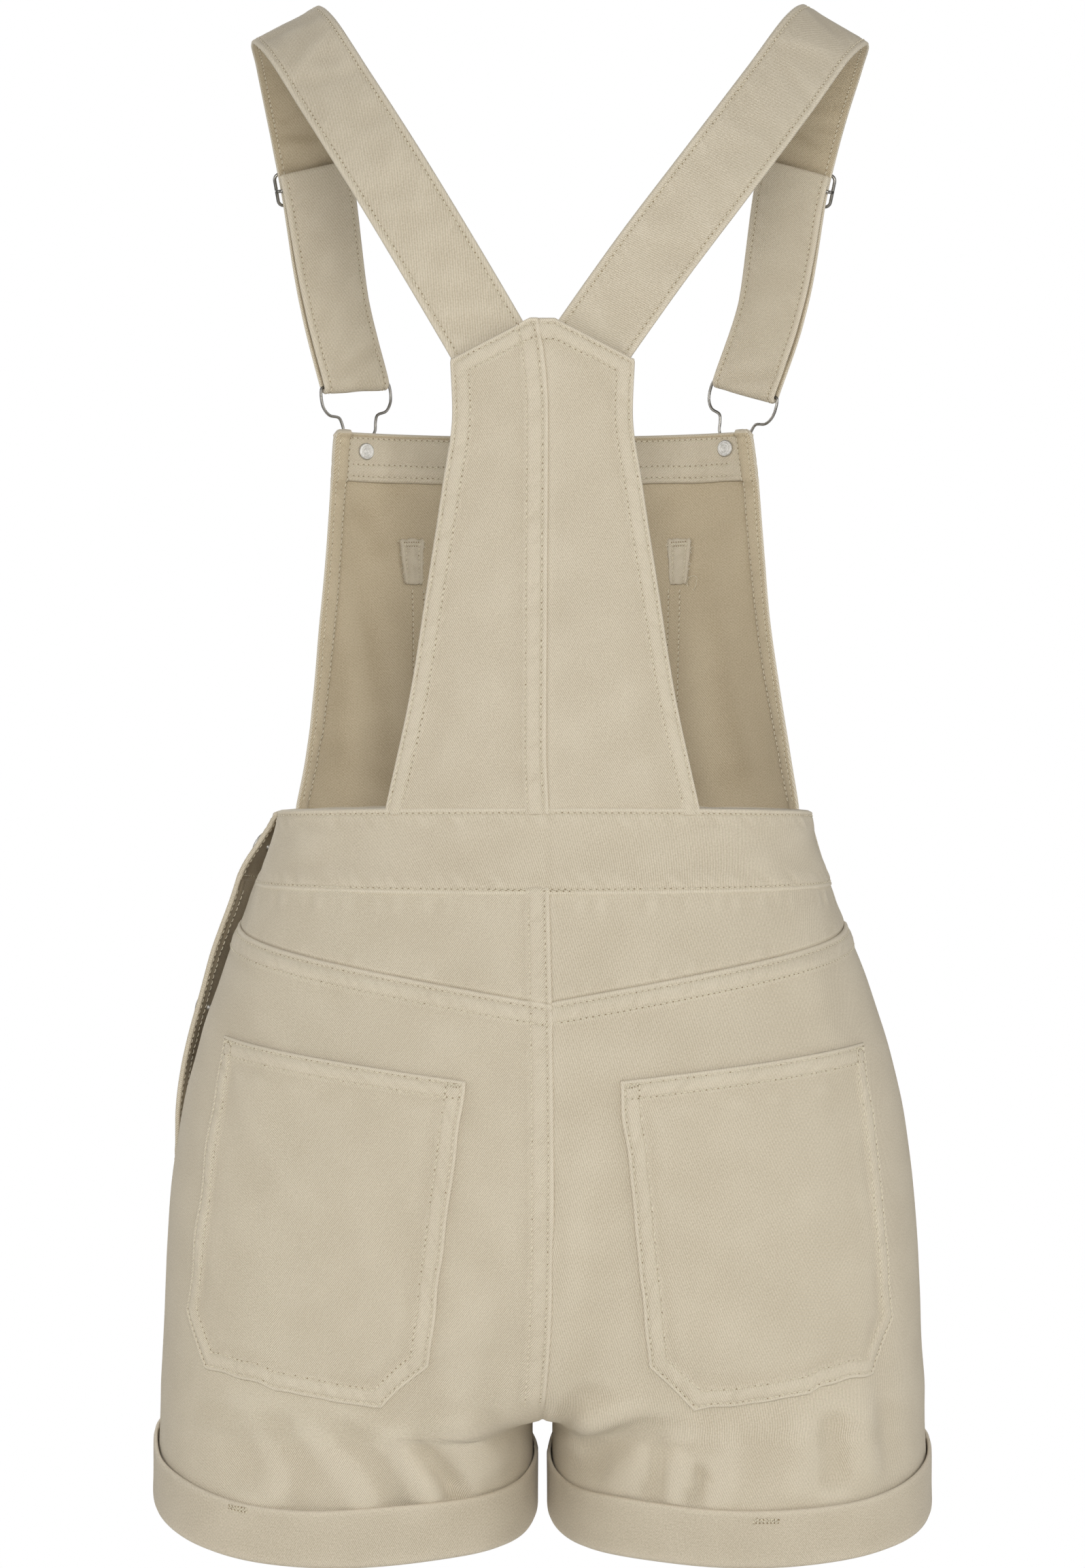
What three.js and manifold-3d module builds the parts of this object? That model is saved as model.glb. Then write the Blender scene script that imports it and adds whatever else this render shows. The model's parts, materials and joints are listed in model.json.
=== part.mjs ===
import * as THREE from "three";
import { mergeVertices } from "three/addons/utils/BufferGeometryUtils.js";
import Module from "manifold-3d";

const wasm = await Module();
wasm.setup();

// Shortalls in their worn form. Millimetres, +Z up. The origin is midway between the straps on
// the shoulders, the front of the garment faces -Y and the wearer's left is +X.

// Cloth thicknesses. A panel's outer face is the body form, and its wall lies inside it.
const clothWall = 1.4;
const bandInside = 1.8;
const bandProud = 0.6;
const strapWall = 2.2;
const seamGap = 0.3;
const layerGap = 0.5;

// Levels of the main lines at the centre back
const waistLevel = -406;
const bandHeight = 42;
const bandNarrowing = 5;
const sideReach = 180;
const yokePoint = -500.6;
const yokeRise = 0.175;
const hemLevel = -753;
const hemDropBack = 0.235;
const hemDropFront = 0.12;
const cuffHeight = 28;
const cuffWall = 1.8;
const cuffGap = 0.9;

// The worn body form, one row for each level. side, back and front are its reaches from the
// middle, and part says how far the two legs have separated.
const bodyForm = [
  { level: -150, side: 152, back: 104, front: 111, part: 0 },
  { level: -206, side: 150, back: 103, front: 113, part: 0 },
  { level: -280, side: 143, back: 97, front: 107, part: 0 },
  { level: -340, side: 139, back: 92, front: 99, part: 0 },
  { level: -406, side: 138, back: 90, front: 93, part: 0 },
  { level: -448, side: 149, back: 99, front: 98, part: 0 },
  { level: -500, side: 169, back: 112, front: 104, part: 0 },
  { level: -550, side: 183, back: 121, front: 106, part: 0 },
  { level: -605, side: 191, back: 124, front: 106, part: 0.04 },
  { level: -650, side: 193.5, back: 120, front: 104, part: 0.18 },
  { level: -685, side: 195, back: 113, front: 102, part: 0.48 },
  { level: -705, side: 196, back: 108, front: 101, part: 0.76 },
  { level: -718, side: 196, back: 105, front: 100, part: 1 },
  { level: -750, side: 197, back: 100, front: 97, part: 1 },
  { level: -785, side: 198, back: 96, front: 94, part: 1 },
];
const squareness = 2.2;
const legGap = 5;
const crotchLevel = -718;

// Half widths, measured along the cloth from the centre line
const backPanelForm = [
  { level: -406, half: 79 },
  { level: -350, half: 66 },
  { level: -300, half: 57.5 },
  { level: -248, half: 49 },
  { level: -212, half: 44 },
  { level: -187, half: 45 },
];
const backPanelPeak = -167.3;
const peakHalf = 6;
const shoulderCorner = { half: 45, level: -187 };

const bibForm = [
  { level: -406, left: 150, right: 161 },
  { level: -375, left: 141, right: 151 },
  { level: -330, left: 133, right: 139 },
  { level: -273, left: 125.5, right: 129 },
  { level: -236, left: 122.5, right: 125 },
  { level: -206, left: 119, right: 120 },
];
const bibTop = -206;
const facingHeight = 25;
const facingWall = 1.2;
const bibPocket = { top: -268, height: 115, left: 76, right: 80, taper: 2.5, wall: 1.2 };
const pocketPatch = { top: -262, height: 24, width: 12, inset: 4, wall: 1 };

// Back patch pocket: inner top corner, size, the cut corners below and each one's lean in degrees
const pocket = {
  inner: 37.5, level: -538, width: 140, height: 163, cutAcross: 21, cutUp: 24, wall: 1.4,
  leanLeft: 7.4, leanRight: 5.9,
};

// Side opening on the wearer's left: how far the front edge stands off the body form
const openingStand = [
  { level: -590, stand: 0 },
  { level: -580, stand: 0.6 },
  { level: -562, stand: 3.2 },
  { level: -548, stand: 4.5 },
  { level: -529, stand: 5.5 },
  { level: -500, stand: 6.5 },
  { level: -480, stand: 8.5 },
  { level: -446, stand: 9 },
  { level: -400, stand: 5 },
];
const openingEase = 60;
const underlap = { reach: 28, bandReach: 27, end: -557, ease: 22 };
const sideButtonInset = 18;
const placketButtonLevel = -511;

// Straps: how far each is from the middle at each station, and how many degrees its outer edge
// leans down. The right one lies a little further out on the shoulder.
const strapWidth = 38;
const strapStations = [
  { z: -193, y: 96.4, left: 18, leanLeft: 33, right: 14, leanRight: 38 },
  { z: -177, y: 96.8, left: 27, leanLeft: 33, right: 25, leanRight: 38 },
  { z: -136, y: 94.5, left: 51, leanLeft: 33, right: 54, leanRight: 38 },
  { z: -92, y: 83, left: 77, leanLeft: 33, right: 86.5, leanRight: 38 },
  { z: -47, y: 58, left: 104, leanLeft: 31, right: 118.5, leanRight: 35 },
  { z: -15, y: 30, left: 123, leanLeft: 30, right: 140, leanRight: 33 },
  { z: -3.5, y: 0, left: 132.5, leanLeft: 28, right: 151, leanRight: 31 },
  { z: -12, y: -32, left: 131.5, leanLeft: 24, right: 149.5, leanRight: 26 },
  { z: -38, y: -61, left: 127, leanLeft: 18, right: 142, leanRight: 19 },
];
const sliderStation = { z: -72, y: -80, left: 121, leanLeft: 13, right: 134, leanRight: 13 };
// Each hook's bar and its button on the bib, and how far out the strap is above the hook
const strapEnds = {
  left: { s: 104.5, level: -179, buttonS: 100.5, buttonLevel: -215, above: 112 },
  right: { s: 114, level: -181.5, buttonS: 104.5, buttonLevel: -213.5, above: 123 },
};
const loopHalf = 2.6;
const aboveHook = 44;

// Metal
const wire = 1;
const hookOutline = [
  [0, 0],
  [19.7, 0],
  [20.7, -1],
  [20.7, -10],
  [17.4, -15],
  [11.8, -16.8],
  [10.2, -20.5],
  [9.4, -25],
  [6.4, -29.5],
  [4.2, -33],
];
const slotHalf = 3.9;
const slider = { width: 43, height: 17, corner: 3 };
const shank = 1.6;
const shankHole = 2;
const buttonHead = { radius: 8.5, thick: 2.4 };
const sideHead = { radius: 7, thick: 2.2 };
const tackBack = { radius: 4.3, thick: 1.1 };

const beigeTwill = new THREE.MeshStandardMaterial({ color: 0xc2b99f, roughness: 0.9, metalness: 0 });
const gunmetal = new THREE.MeshStandardMaterial({ color: 0x4c4b48, roughness: 0.35, metalness: 1 });
const paleMetal = new THREE.MeshStandardMaterial({ color: 0xb9bab6, roughness: 0.3, metalness: 1 });

const shortalls = new THREE.Group();

function addPiece(name, geometry, material) {
  const piece = new THREE.Mesh(geometry, material);
  piece.name = name;
  shortalls.add(piece);
}

const blend = (a, b, t) => a + (b - a) * t;
const ease = (t) => {
  const k = Math.min(Math.max(t, 0), 1);
  return k * k * (3 - 2 * k);
};

// Reads a column of a table at a level, with no overshoot between its rows.
function readTable(table, column, level) {
  const rows = table[0].level < table[table.length - 1].level ? table : [...table].reverse();
  const last = rows.length - 1;
  if (level <= rows[0].level) return rows[0][column];
  if (level >= rows[last].level) return rows[last][column];
  const at = rows.findIndex((row) => row.level > level) - 1;
  const slope = (k) => (rows[k + 1][column] - rows[k][column]) / (rows[k + 1].level - rows[k].level);
  const tangent = (k) => {
    if (k === 0) return slope(0);
    if (k === last) return slope(last - 1);
    return slope(k - 1) * slope(k) <= 0 ? 0 : (slope(k - 1) + slope(k)) / 2;
  };
  const span = rows[at + 1].level - rows[at].level;
  const t = (level - rows[at].level) / span;
  const from = rows[at][column];
  const to = rows[at + 1][column];
  return (2 * t ** 3 - 3 * t ** 2 + 1) * from + (t ** 3 - 2 * t ** 2 + t) * span * tangent(at)
    + (3 * t ** 2 - 2 * t ** 3) * to + (t ** 3 - t ** 2) * span * tangent(at + 1);
}

// The body form at one level. Angle 0 points back, and a quarter turn points to the side.
function formAt(level) {
  const outer = readTable(bodyForm, "side", level);
  const part = readTable(bodyForm, "part", level);
  const inner = blend(-outer, legGap, part);
  const middle = (outer + inner) / 2;
  const half = (outer - inner) / 2;
  const start = -Math.asin(Math.min(middle / half, 1) ** (squareness / 2));
  return {
    middle, half, start,
    back: readTable(bodyForm, "back", level),
    front: readTable(bodyForm, "front", level),
  };
}

function rimPoint(form, angle, level) {
  const curve = (value) => Math.sign(value) * Math.abs(value) ** (2 / squareness);
  const depth = Math.cos(angle) >= 0 ? form.back : form.front;
  return new THREE.Vector3(
    form.middle + form.half * curve(Math.sin(angle)), depth * curve(Math.cos(angle)), level);
}

// Lengths along the form at one level, from the back seam round the side to the front seam
const rims = new Map();
const rimSteps = 240;
function rimAt(level) {
  const key = level.toFixed(2);
  if (!rims.has(key)) {
    const form = formAt(level);
    const turn = Math.PI - 2 * form.start;
    const lengths = [0];
    let previous = rimPoint(form, form.start, level);
    let side = 0;
    for (let i = 1; i <= rimSteps; i++) {
      const point = rimPoint(form, form.start + turn * i / rimSteps, level);
      lengths.push(lengths[i - 1] + point.distanceTo(previous));
      if (i === rimSteps / 2) side = lengths[i];
      previous = point;
    }
    rims.set(key, { form, turn, lengths, side, girth: lengths[rimSteps] });
  }
  return rims.get(key);
}

function angleAt(level, s) {
  const { form, turn, lengths } = rimAt(level);
  let low = 0;
  let high = rimSteps;
  while (high - low > 1) {
    const middle = (low + high) >> 1;
    if (lengths[middle] <= s) low = middle; else high = middle;
  }
  const part = (s - lengths[low]) / (lengths[high] - lengths[low]);
  return form.start + turn * (low + part) / rimSteps;
}

// A point of the left half, at an angle and a level, moved out along the form's normal
function formPoint(angle, level, lift) {
  const step = 0.02;
  const form = formAt(level);
  const point = rimPoint(form, angle, level);
  const along = rimPoint(form, angle + step, level).sub(rimPoint(form, angle - step, level));
  const above = rimPoint(formAt(level + 1), angle, level + 1);
  const up = above.sub(rimPoint(formAt(level - 1), angle, level - 1));
  return point.addScaledVector(up.cross(along).normalize(), lift);
}

// hand is 1 on the wearer's left and -1 on the right. Lengths run from the centre seam.
function onBack(hand, s, level, lift) {
  const point = formPoint(angleAt(level, Math.abs(s)), level, lift);
  point.x *= hand * (s < 0 ? -1 : 1);
  return point;
}

function onFront(hand, s, level, lift) {
  const point = formPoint(angleAt(level, rimAt(level).girth - Math.abs(s)), level, lift);
  point.x *= hand * (s < 0 ? -1 : 1);
  return point;
}

const sideBack = (level) => rimAt(level).side;
const sideFront = (level) => rimAt(level).girth - rimAt(level).side;
const bandTop = (s) => waistLevel - bandNarrowing / 2 * (s / sideReach) ** 2;
const bandLow = (s) => waistLevel - bandHeight + bandNarrowing / 2 * (s / sideReach) ** 2;
// The band's lower edge, for a length measured along that edge
const bandLowFrom = (side, s) => bandLow(s * side(waistLevel) / side(waistLevel - bandHeight));
const yokeLow = (s) => yokePoint + yokeRise * s;
const hemAt = (y) => hemLevel - y * (y > 0 ? hemDropBack : hemDropFront);

// How far the front stands out near the side opening, at a distance from its free edge
function openingLift(level, fromEdge) {
  return readTable(openingStand, "stand", level) * (1 - ease(fromEdge / openingEase));
}

function underlapAt(level, reach) {
  return reach * ease((level - underlap.end) / underlap.ease);
}

// A closed solid from its vertices and triangles, with its faces turned out
function closedSolid(positions, index) {
  let volume = 0;
  const corner = (k) => new THREE.Vector3().fromArray(positions, index[k] * 3);
  for (let k = 0; k < index.length; k += 3) {
    volume += corner(k).dot(corner(k + 1).cross(corner(k + 2)));
  }
  if (volume < 0) index.reverse();
  const geometry = new THREE.BufferGeometry();
  geometry.setAttribute("position", new THREE.Float32BufferAttribute(positions, 3));
  geometry.setIndex(index);
  return geometry;
}

// A wall of cloth: a grid of points, given an inner and an outer face
function clothWallOf({ across, down, at, inner, outer, ring = false, downAt = (v) => v }) {
  const columns = ring ? across : across + 1;
  const grid = columns * (down + 1);
  const positions = [];
  for (const lift of [outer, inner]) {
    for (let j = 0; j <= down; j++) {
      for (let i = 0; i < columns; i++) positions.push(...at(i / across, downAt(j / down), lift).toArray());
    }
  }
  const index = [];
  const quad = (a, b, c, d) => index.push(a, b, c, a, c, d);
  const vertex = (i, j, face) => face * grid + j * columns + i % columns;
  for (let j = 0; j < down; j++) {
    for (let i = 0; i < across; i++) {
      quad(vertex(i, j, 0), vertex(i, j + 1, 0), vertex(i + 1, j + 1, 0), vertex(i + 1, j, 0));
      quad(vertex(i, j, 1), vertex(i + 1, j, 1), vertex(i + 1, j + 1, 1), vertex(i, j + 1, 1));
    }
  }
  for (let i = 0; i < across; i++) {
    quad(vertex(i, 0, 0), vertex(i + 1, 0, 0), vertex(i + 1, 0, 1), vertex(i, 0, 1));
    quad(vertex(i + 1, down, 0), vertex(i, down, 0), vertex(i, down, 1), vertex(i + 1, down, 1));
  }
  if (!ring) {
    for (let j = 0; j < down; j++) {
      quad(vertex(0, j + 1, 0), vertex(0, j, 0), vertex(0, j, 1), vertex(0, j + 1, 1));
      quad(vertex(across, j, 0), vertex(across, j + 1, 0), vertex(across, j + 1, 1), vertex(across, j, 1));
    }
  }
  return closedSolid(positions, index);
}

function toManifold(geometry) {
  const plain = geometry.clone();
  plain.deleteAttribute("normal");
  plain.deleteAttribute("uv");
  const merged = mergeVertices(plain, 1e-4);
  return new wasm.Manifold(new wasm.Mesh({
    numProp: 3,
    vertProperties: new Float32Array(merged.attributes.position.array),
    triVerts: new Uint32Array(merged.index.array),
  }));
}

function fromManifold(solid) {
  const mesh = solid.getMesh();
  const geometry = new THREE.BufferGeometry();
  geometry.setAttribute("position", new THREE.Float32BufferAttribute(mesh.vertProperties, 3));
  geometry.setIndex(Array.from(mesh.triVerts));
  return geometry;
}

// A round wire along a list of points. A closed path joins its end to its start.
function wireAlong(path, radius, sides, closedPath) {
  const count = path.length;
  const positions = [];
  const index = [];
  let bend = new THREE.Vector3();
  for (let i = 0; i < count; i++) {
    const before = path[closedPath ? (i + count - 1) % count : Math.max(i - 1, 0)];
    const after = path[closedPath ? (i + 1) % count : Math.min(i + 1, count - 1)];
    const along = after.clone().sub(before).normalize();
    if (i === 0) {
      bend = new THREE.Vector3(0.31, 0.87, 0.17);
    }
    bend = bend.clone().addScaledVector(along, -bend.dot(along)).normalize();
    const third = along.clone().cross(bend);
    for (let k = 0; k < sides; k++) {
      const angle = 2 * Math.PI * k / sides;
      positions.push(...path[i].clone().addScaledVector(bend, radius * Math.cos(angle))
        .addScaledVector(third, radius * Math.sin(angle)).toArray());
    }
  }
  const spans = closedPath ? count : count - 1;
  // A closed wire comes back turned, so its last ring is matched to the first.
  const shift = closedPath ? ringShift(positions, count, sides) : 0;
  for (let i = 0; i < spans; i++) {
    const turned = closedPath && i === count - 1 ? shift : 0;
    for (let k = 0; k < sides; k++) {
      const a = i * sides + k;
      const b = i * sides + (k + 1) % sides;
      const next = ((i + 1) % count) * sides;
      const c = next + (k + 1 + turned) % sides;
      const d = next + (k + turned) % sides;
      index.push(a, b, c, a, c, d);
    }
  }
  if (!closedPath) {
    const end = (count - 1) * sides;
    for (let k = 1; k < sides - 1; k++) {
      index.push(0, k + 1, k);
      index.push(end, end + k, end + k + 1);
    }
  }
  return closedSolid(positions, index);
}

function ringShift(positions, count, sides) {
  const first = new THREE.Vector3();
  const last = new THREE.Vector3().fromArray(positions, (count - 1) * sides * 3);
  let best = 0;
  let nearest = Infinity;
  for (let k = 0; k < sides; k++) {
    const distance = first.fromArray(positions, k * 3).distanceTo(last);
    if (distance < nearest) {
      nearest = distance;
      best = k;
    }
  }
  return best;
}

// A flat strip of webbing or folded cloth through a list of { at, across, out } frames
function stripAlong(frames, width, wall) {
  const positions = [];
  const index = [];
  for (const { at, across, out } of frames) {
    for (const [w, t] of [[1, 1], [-1, 1], [-1, -1], [1, -1]]) {
      positions.push(...at.clone().addScaledVector(across, w * width / 2).addScaledVector(out, t * wall / 2)
        .toArray());
    }
  }
  for (let i = 0; i < frames.length - 1; i++) {
    for (let k = 0; k < 4; k++) {
      const a = i * 4 + k;
      const b = i * 4 + (k + 1) % 4;
      index.push(a, b, b + 4, a, b + 4, a + 4);
    }
  }
  const end = (frames.length - 1) * 4;
  index.push(0, 2, 1, 0, 3, 2, end, end + 1, end + 2, end, end + 2, end + 3);
  return closedSolid(positions, index);
}

// Back panel, yoke and legs

function backPanelAt(hand) {
  return (u, v, lift) => {
    const topS = u * shoulderCorner.half;
    const fall = Math.max(topS - peakHalf, 0) / (shoulderCorner.half - peakHalf);
    const top = blend(backPanelPeak, shoulderCorner.level, fall);
    const low = bandTop(u * backPanelForm[0].half) + seamGap;
    const level = blend(top, low, v);
    const s = seamGap / 2 + u * (readTable(backPanelForm, "half", level) - seamGap / 2);
    return onBack(hand, s, level, lift);
  };
}

function yokeAt(hand) {
  return (u, v, lift) => {
    const top = bandLowFrom(sideBack, backAcross(hand, u, waistLevel - bandHeight)) - seamGap;
    const low = yokeLow(u * sideBack(yokeLow(sideReach))) + seamGap / 2;
    const level = blend(top, low, v);
    return onBack(hand, backAcross(hand, u, level), level, lift);
  };
}

// The way across a leg from its centre seam or inseam, 0, to the side, 1. Only the inner part
// takes up the cloth that runs on under the crotch.
const innerPart = 0.4;
const steadyReach = 256;
function legAcross(length, u) {
  const steady = Math.min(length, steadyReach);
  const inner = length - (1 - innerPart) * steady;
  return u < innerPart ? u / innerPart * inner : length - (1 - u) * steady;
}

// Where a back piece reaches, from the centre seam to the side seam or the end of the underlap
function backAcross(hand, u, level) {
  const side = legAcross(sideBack(level), u);
  const under = hand > 0 ? u * underlapAt(level, underlap.reach) : 0;
  return side + under + blend(seamGap / 2, -seamGap / 2, u);
}

function frontAcross(u, level) {
  return legAcross(sideFront(level), u) + blend(seamGap / 2, -seamGap / 2, u);
}

// Rows of points down a leg: 0 to 1 from its top to the crotch level, closer where the legs
// part, and 1 to 2 from there to the hem
const legRows = [0, 0.14, 0.28, 0.42, 0.54, 0.65, 0.74, 0.81, 0.865, 0.905, 0.935, 0.96, 0.98, 1, 1.5, 2];
const legRowAt = (v) => legRows[Math.round(v * (legRows.length - 1))];
const legLevel = (top, hem, v) => (v < 1 ? blend(top, crotchLevel, v) : blend(crotchLevel, hem, v - 1));

function backLegAt(hand) {
  return (u, v, lift) => {
    const top = yokeLow(u * sideBack(yokeLow(sideReach))) - seamGap / 2;
    const hemPoint = onBack(1, backAcross(hand, u, hemLevel), hemLevel, 0);
    const level = legLevel(top, hemAt(hemPoint.y), v);
    return onBack(hand, backAcross(hand, u, level), level, lift);
  };
}

function frontLegAt(hand) {
  return (u, v, lift) => {
    const top = bandLowFrom(sideFront, frontAcross(u, waistLevel - bandHeight)) - seamGap;
    const hemPoint = onFront(1, frontAcross(u, hemLevel), hemLevel, 0);
    const level = legLevel(top, hemAt(hemPoint.y), v);
    const s = frontAcross(u, level);
    const stand = hand > 0 ? openingLift(level, sideFront(level) - s) : 0;
    return onFront(hand, s, level, lift + stand);
  };
}

function cuffAt(hand) {
  return (u, v, lift) => {
    const angle = 2 * Math.PI * u;
    const hem = hemAt(rimPoint(formAt(hemLevel), angle, hemLevel).y);
    const point = formPoint(angle, hem + cuffHeight * (1 - v), lift);
    point.x *= hand;
    return point;
  };
}

function backPocketAt(hand) {
  const turn = THREE.MathUtils.degToRad(hand > 0 ? pocket.leanLeft : pocket.leanRight);
  return (u, v, lift) => {
    const across = u * pocket.width;
    const toEdge = Math.min(across, pocket.width - across);
    const cut = pocket.cutUp * Math.max(1 - toEdge / pocket.cutAcross, 0);
    const down = v * (pocket.height - cut);
    const s = pocket.inner + across * Math.cos(turn) + down * Math.sin(turn);
    const level = pocket.level + across * Math.sin(turn) - down * Math.cos(turn);
    return onBack(hand, s, level, lift);
  };
}

// Waistband

function backBandAt(u, v, lift) {
  const right = -(sideBack(waistLevel) - seamGap / 2);
  const s = blend(right, sideBack(waistLevel) + underlap.bandReach, u);
  const level = blend(bandTop(s), bandLow(s), v);
  const scale = sideBack(level) / sideBack(waistLevel);
  return onBack(1, s * scale, level, lift);
}

function frontBandAt(u, v, lift) {
  const edge = sideFront(waistLevel) - seamGap / 2;
  const s = blend(-edge, edge, u);
  const level = blend(bandTop(s), bandLow(s), v);
  const scale = sideFront(level) / sideFront(waistLevel);
  return onFront(1, s * scale, level, lift + openingLift(level, edge - s));
}

// Bib

const bibSide = (side) => (side > 0 ? "left" : "right");

function bibAt(u, v, lift) {
  const side = 2 * u - 1;
  const level = blend(bibTop, bandTop(side * bibForm[0][bibSide(side)]) + layerGap, v);
  return onFront(1, side * readTable(bibForm, bibSide(side), level), level, lift);
}

function facingAt(u, v, lift) {
  const side = 2 * u - 1;
  const level = bibTop - v * facingHeight;
  return onFront(1, side * (readTable(bibForm, bibSide(side), level) - 1), level, lift);
}

function bibPocketAt(u, v, lift) {
  const side = 2 * u - 1;
  const half = bibPocket[bibSide(side)] - v * bibPocket.taper;
  return onFront(1, side * half, bibPocket.top - v * bibPocket.height, lift);
}

function patchAt(hand) {
  return (u, v, lift) => {
    const s = bibPocket[bibSide(hand)] - pocketPatch.inset + (u - 0.5) * pocketPatch.width;
    return onFront(hand, s, pocketPatch.top - v * pocketPatch.height, lift);
  };
}

// A button fixed at a point: its head outside, a shank through the cloth and a tack back inside.
// Profile heights are measured along the outward direction from the point.
function buttonSolid(point, outward, head, headFrom, backFrom) {
  const profile = [
    [0, backFrom - tackBack.thick], [tackBack.radius - 0.6, backFrom - tackBack.thick],
    [tackBack.radius, backFrom - tackBack.thick / 2], [tackBack.radius, backFrom], [shank, backFrom],
    [shank, headFrom], [head.radius, headFrom], [head.radius, headFrom + head.thick / 2],
    [head.radius - 1.2, headFrom + head.thick], [0, headFrom + head.thick],
  ].map(([x, y]) => new THREE.Vector2(x, y));
  return placedLathe(profile, 14, point, outward);
}

function placedLathe(profile, segments, point, outward) {
  const lathe = new THREE.LatheGeometry(profile, segments);
  const turn = new THREE.Quaternion().setFromUnitVectors(new THREE.Vector3(0, 1, 0), outward);
  lathe.applyQuaternion(turn);
  lathe.translate(point.x, point.y, point.z);
  lathe.deleteAttribute("normal");
  lathe.deleteAttribute("uv");
  return mergeVertices(lathe, 1e-3);
}

function holeSolid(point, outward) {
  const reach = 12;
  const profile = [[0, -reach], [shankHole, -reach], [shankHole, reach], [0, reach]]
    .map(([x, y]) => new THREE.Vector2(x, y));
  return placedLathe(profile, 8, point, outward);
}

function cutHoles(geometry, holes) {
  let solid = toManifold(geometry);
  for (const hole of holes) solid = solid.subtract(toManifold(hole));
  return fromManifold(solid);
}

// Straps, hooks and sliders

// The frame of a hook: its bar in the strap's loop, and the way down to the button
function hookFrame(hand) {
  const end = hand > 0 ? strapEnds.left : strapEnds.right;
  const wireLift = layerGap + wire;
  const bar = onFront(hand, end.s, end.level, wireLift);
  const button = onFront(hand, end.buttonS, end.buttonLevel, wireLift);
  const out = button.clone().sub(onFront(hand, end.buttonS, end.buttonLevel, 0)).normalize();
  const down = button.clone().sub(bar).normalize();
  const across = down.clone().cross(out).normalize();
  return { bar, button, down, across, out: across.clone().cross(down).normalize() };
}

function hookPath(hand) {
  const { bar, button, down, across } = hookFrame(hand);
  const drop = bar.distanceTo(button) + shank + seamGap + wire;
  const half = [...hookOutline, [slotHalf, -(drop - slotHalf)]];
  const turnSteps = 3;
  for (let k = 1; k < turnSteps; k++) {
    const angle = Math.PI / 2 * k / turnSteps;
    half.push([slotHalf * Math.cos(angle), -(drop - slotHalf) - slotHalf * Math.sin(angle)]);
  }
  const outline = [...half, [0, -drop], ...half.slice(1).reverse().map(([x, y]) => [-x, y])];
  return outline.map(([x, y]) => bar.clone().addScaledVector(across, x).addScaledVector(down, -y));
}

// Frames along one strap, from its tucked end behind the back panel, over the shoulder, through
// the slider and down to the hook's bar. station counts the points that it passes.
const sliderIndex = strapStations.length;
const barIndex = sliderIndex + 2;
function strapFrames(hand) {
  const hook = hookFrame(hand);
  const [reach, lean] = hand > 0 ? ["left", "leanLeft"] : ["right", "leanRight"];
  const stations = [...strapStations, sliderStation];
  const points = stations.map((row) => new THREE.Vector3(hand * row[reach], row.y, row.z));
  const above = hook.bar.clone().addScaledVector(hook.down, -aboveHook);
  above.x = hand * strapEnds[reach].above;
  points.push(above, hook.bar);
  const widths = stations.map((row) => {
    const angle = THREE.MathUtils.degToRad(row[lean]);
    return new THREE.Vector3(hand * Math.cos(angle), 0, -Math.sin(angle));
  });
  const barWidth = hook.across.clone().multiplyScalar(Math.sign(hook.across.x) * hand);
  widths[sliderIndex].lerp(barWidth, 0.5).normalize();
  widths.push(barWidth, barWidth);
  const curve = new THREE.CatmullRomCurve3(points, false, "centripetal");
  const steps = 4;
  const frames = [];
  for (let i = 0; i <= barIndex * steps; i++) {
    const station = i / steps;
    const from = Math.min(Math.floor(station), barIndex - 1);
    const along = curve.getTangent(station / barIndex);
    const across = widths[from].clone().lerp(widths[from + 1], station - from);
    across.addScaledVector(along, -across.dot(along)).normalize();
    const out = along.clone().cross(across).multiplyScalar(hand).normalize();
    frames.push({ at: curve.getPoint(station / barIndex), across, out, station });
  }
  const last = frames[frames.length - 1];
  last.across = barWidth;
  last.out = hook.out;
  return frames;
}

// The strap shifts outward above the slider, turns round the bar and comes back up inside
function strapSolid(hand) {
  const frames = strapFrames(hand);
  const loop = frames.map(({ at, across, out, station }) => {
    const shift = loopHalf * ease((station - sliderIndex + 1) / 0.6);
    return { at: at.clone().addScaledVector(out, shift), across, out };
  });
  const bottom = frames[frames.length - 1];
  const { down } = hookFrame(hand);
  const turnSteps = 6;
  for (let k = 1; k < turnSteps; k++) {
    const angle = Math.PI * k / turnSteps;
    const spoke = bottom.out.clone().multiplyScalar(Math.cos(angle)).addScaledVector(down, Math.sin(angle));
    loop.push({ at: bottom.at.clone().addScaledVector(spoke, loopHalf), across: bottom.across, out: spoke });
  }
  const doubled = frames.filter((frame) => frame.station >= sliderIndex).reverse();
  for (const { at, across, out } of doubled) {
    loop.push({ at: at.clone().addScaledVector(out, -loopHalf), across, out: out.clone().negate() });
  }
  return stripAlong(loop, strapWidth, strapWall);
}

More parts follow.
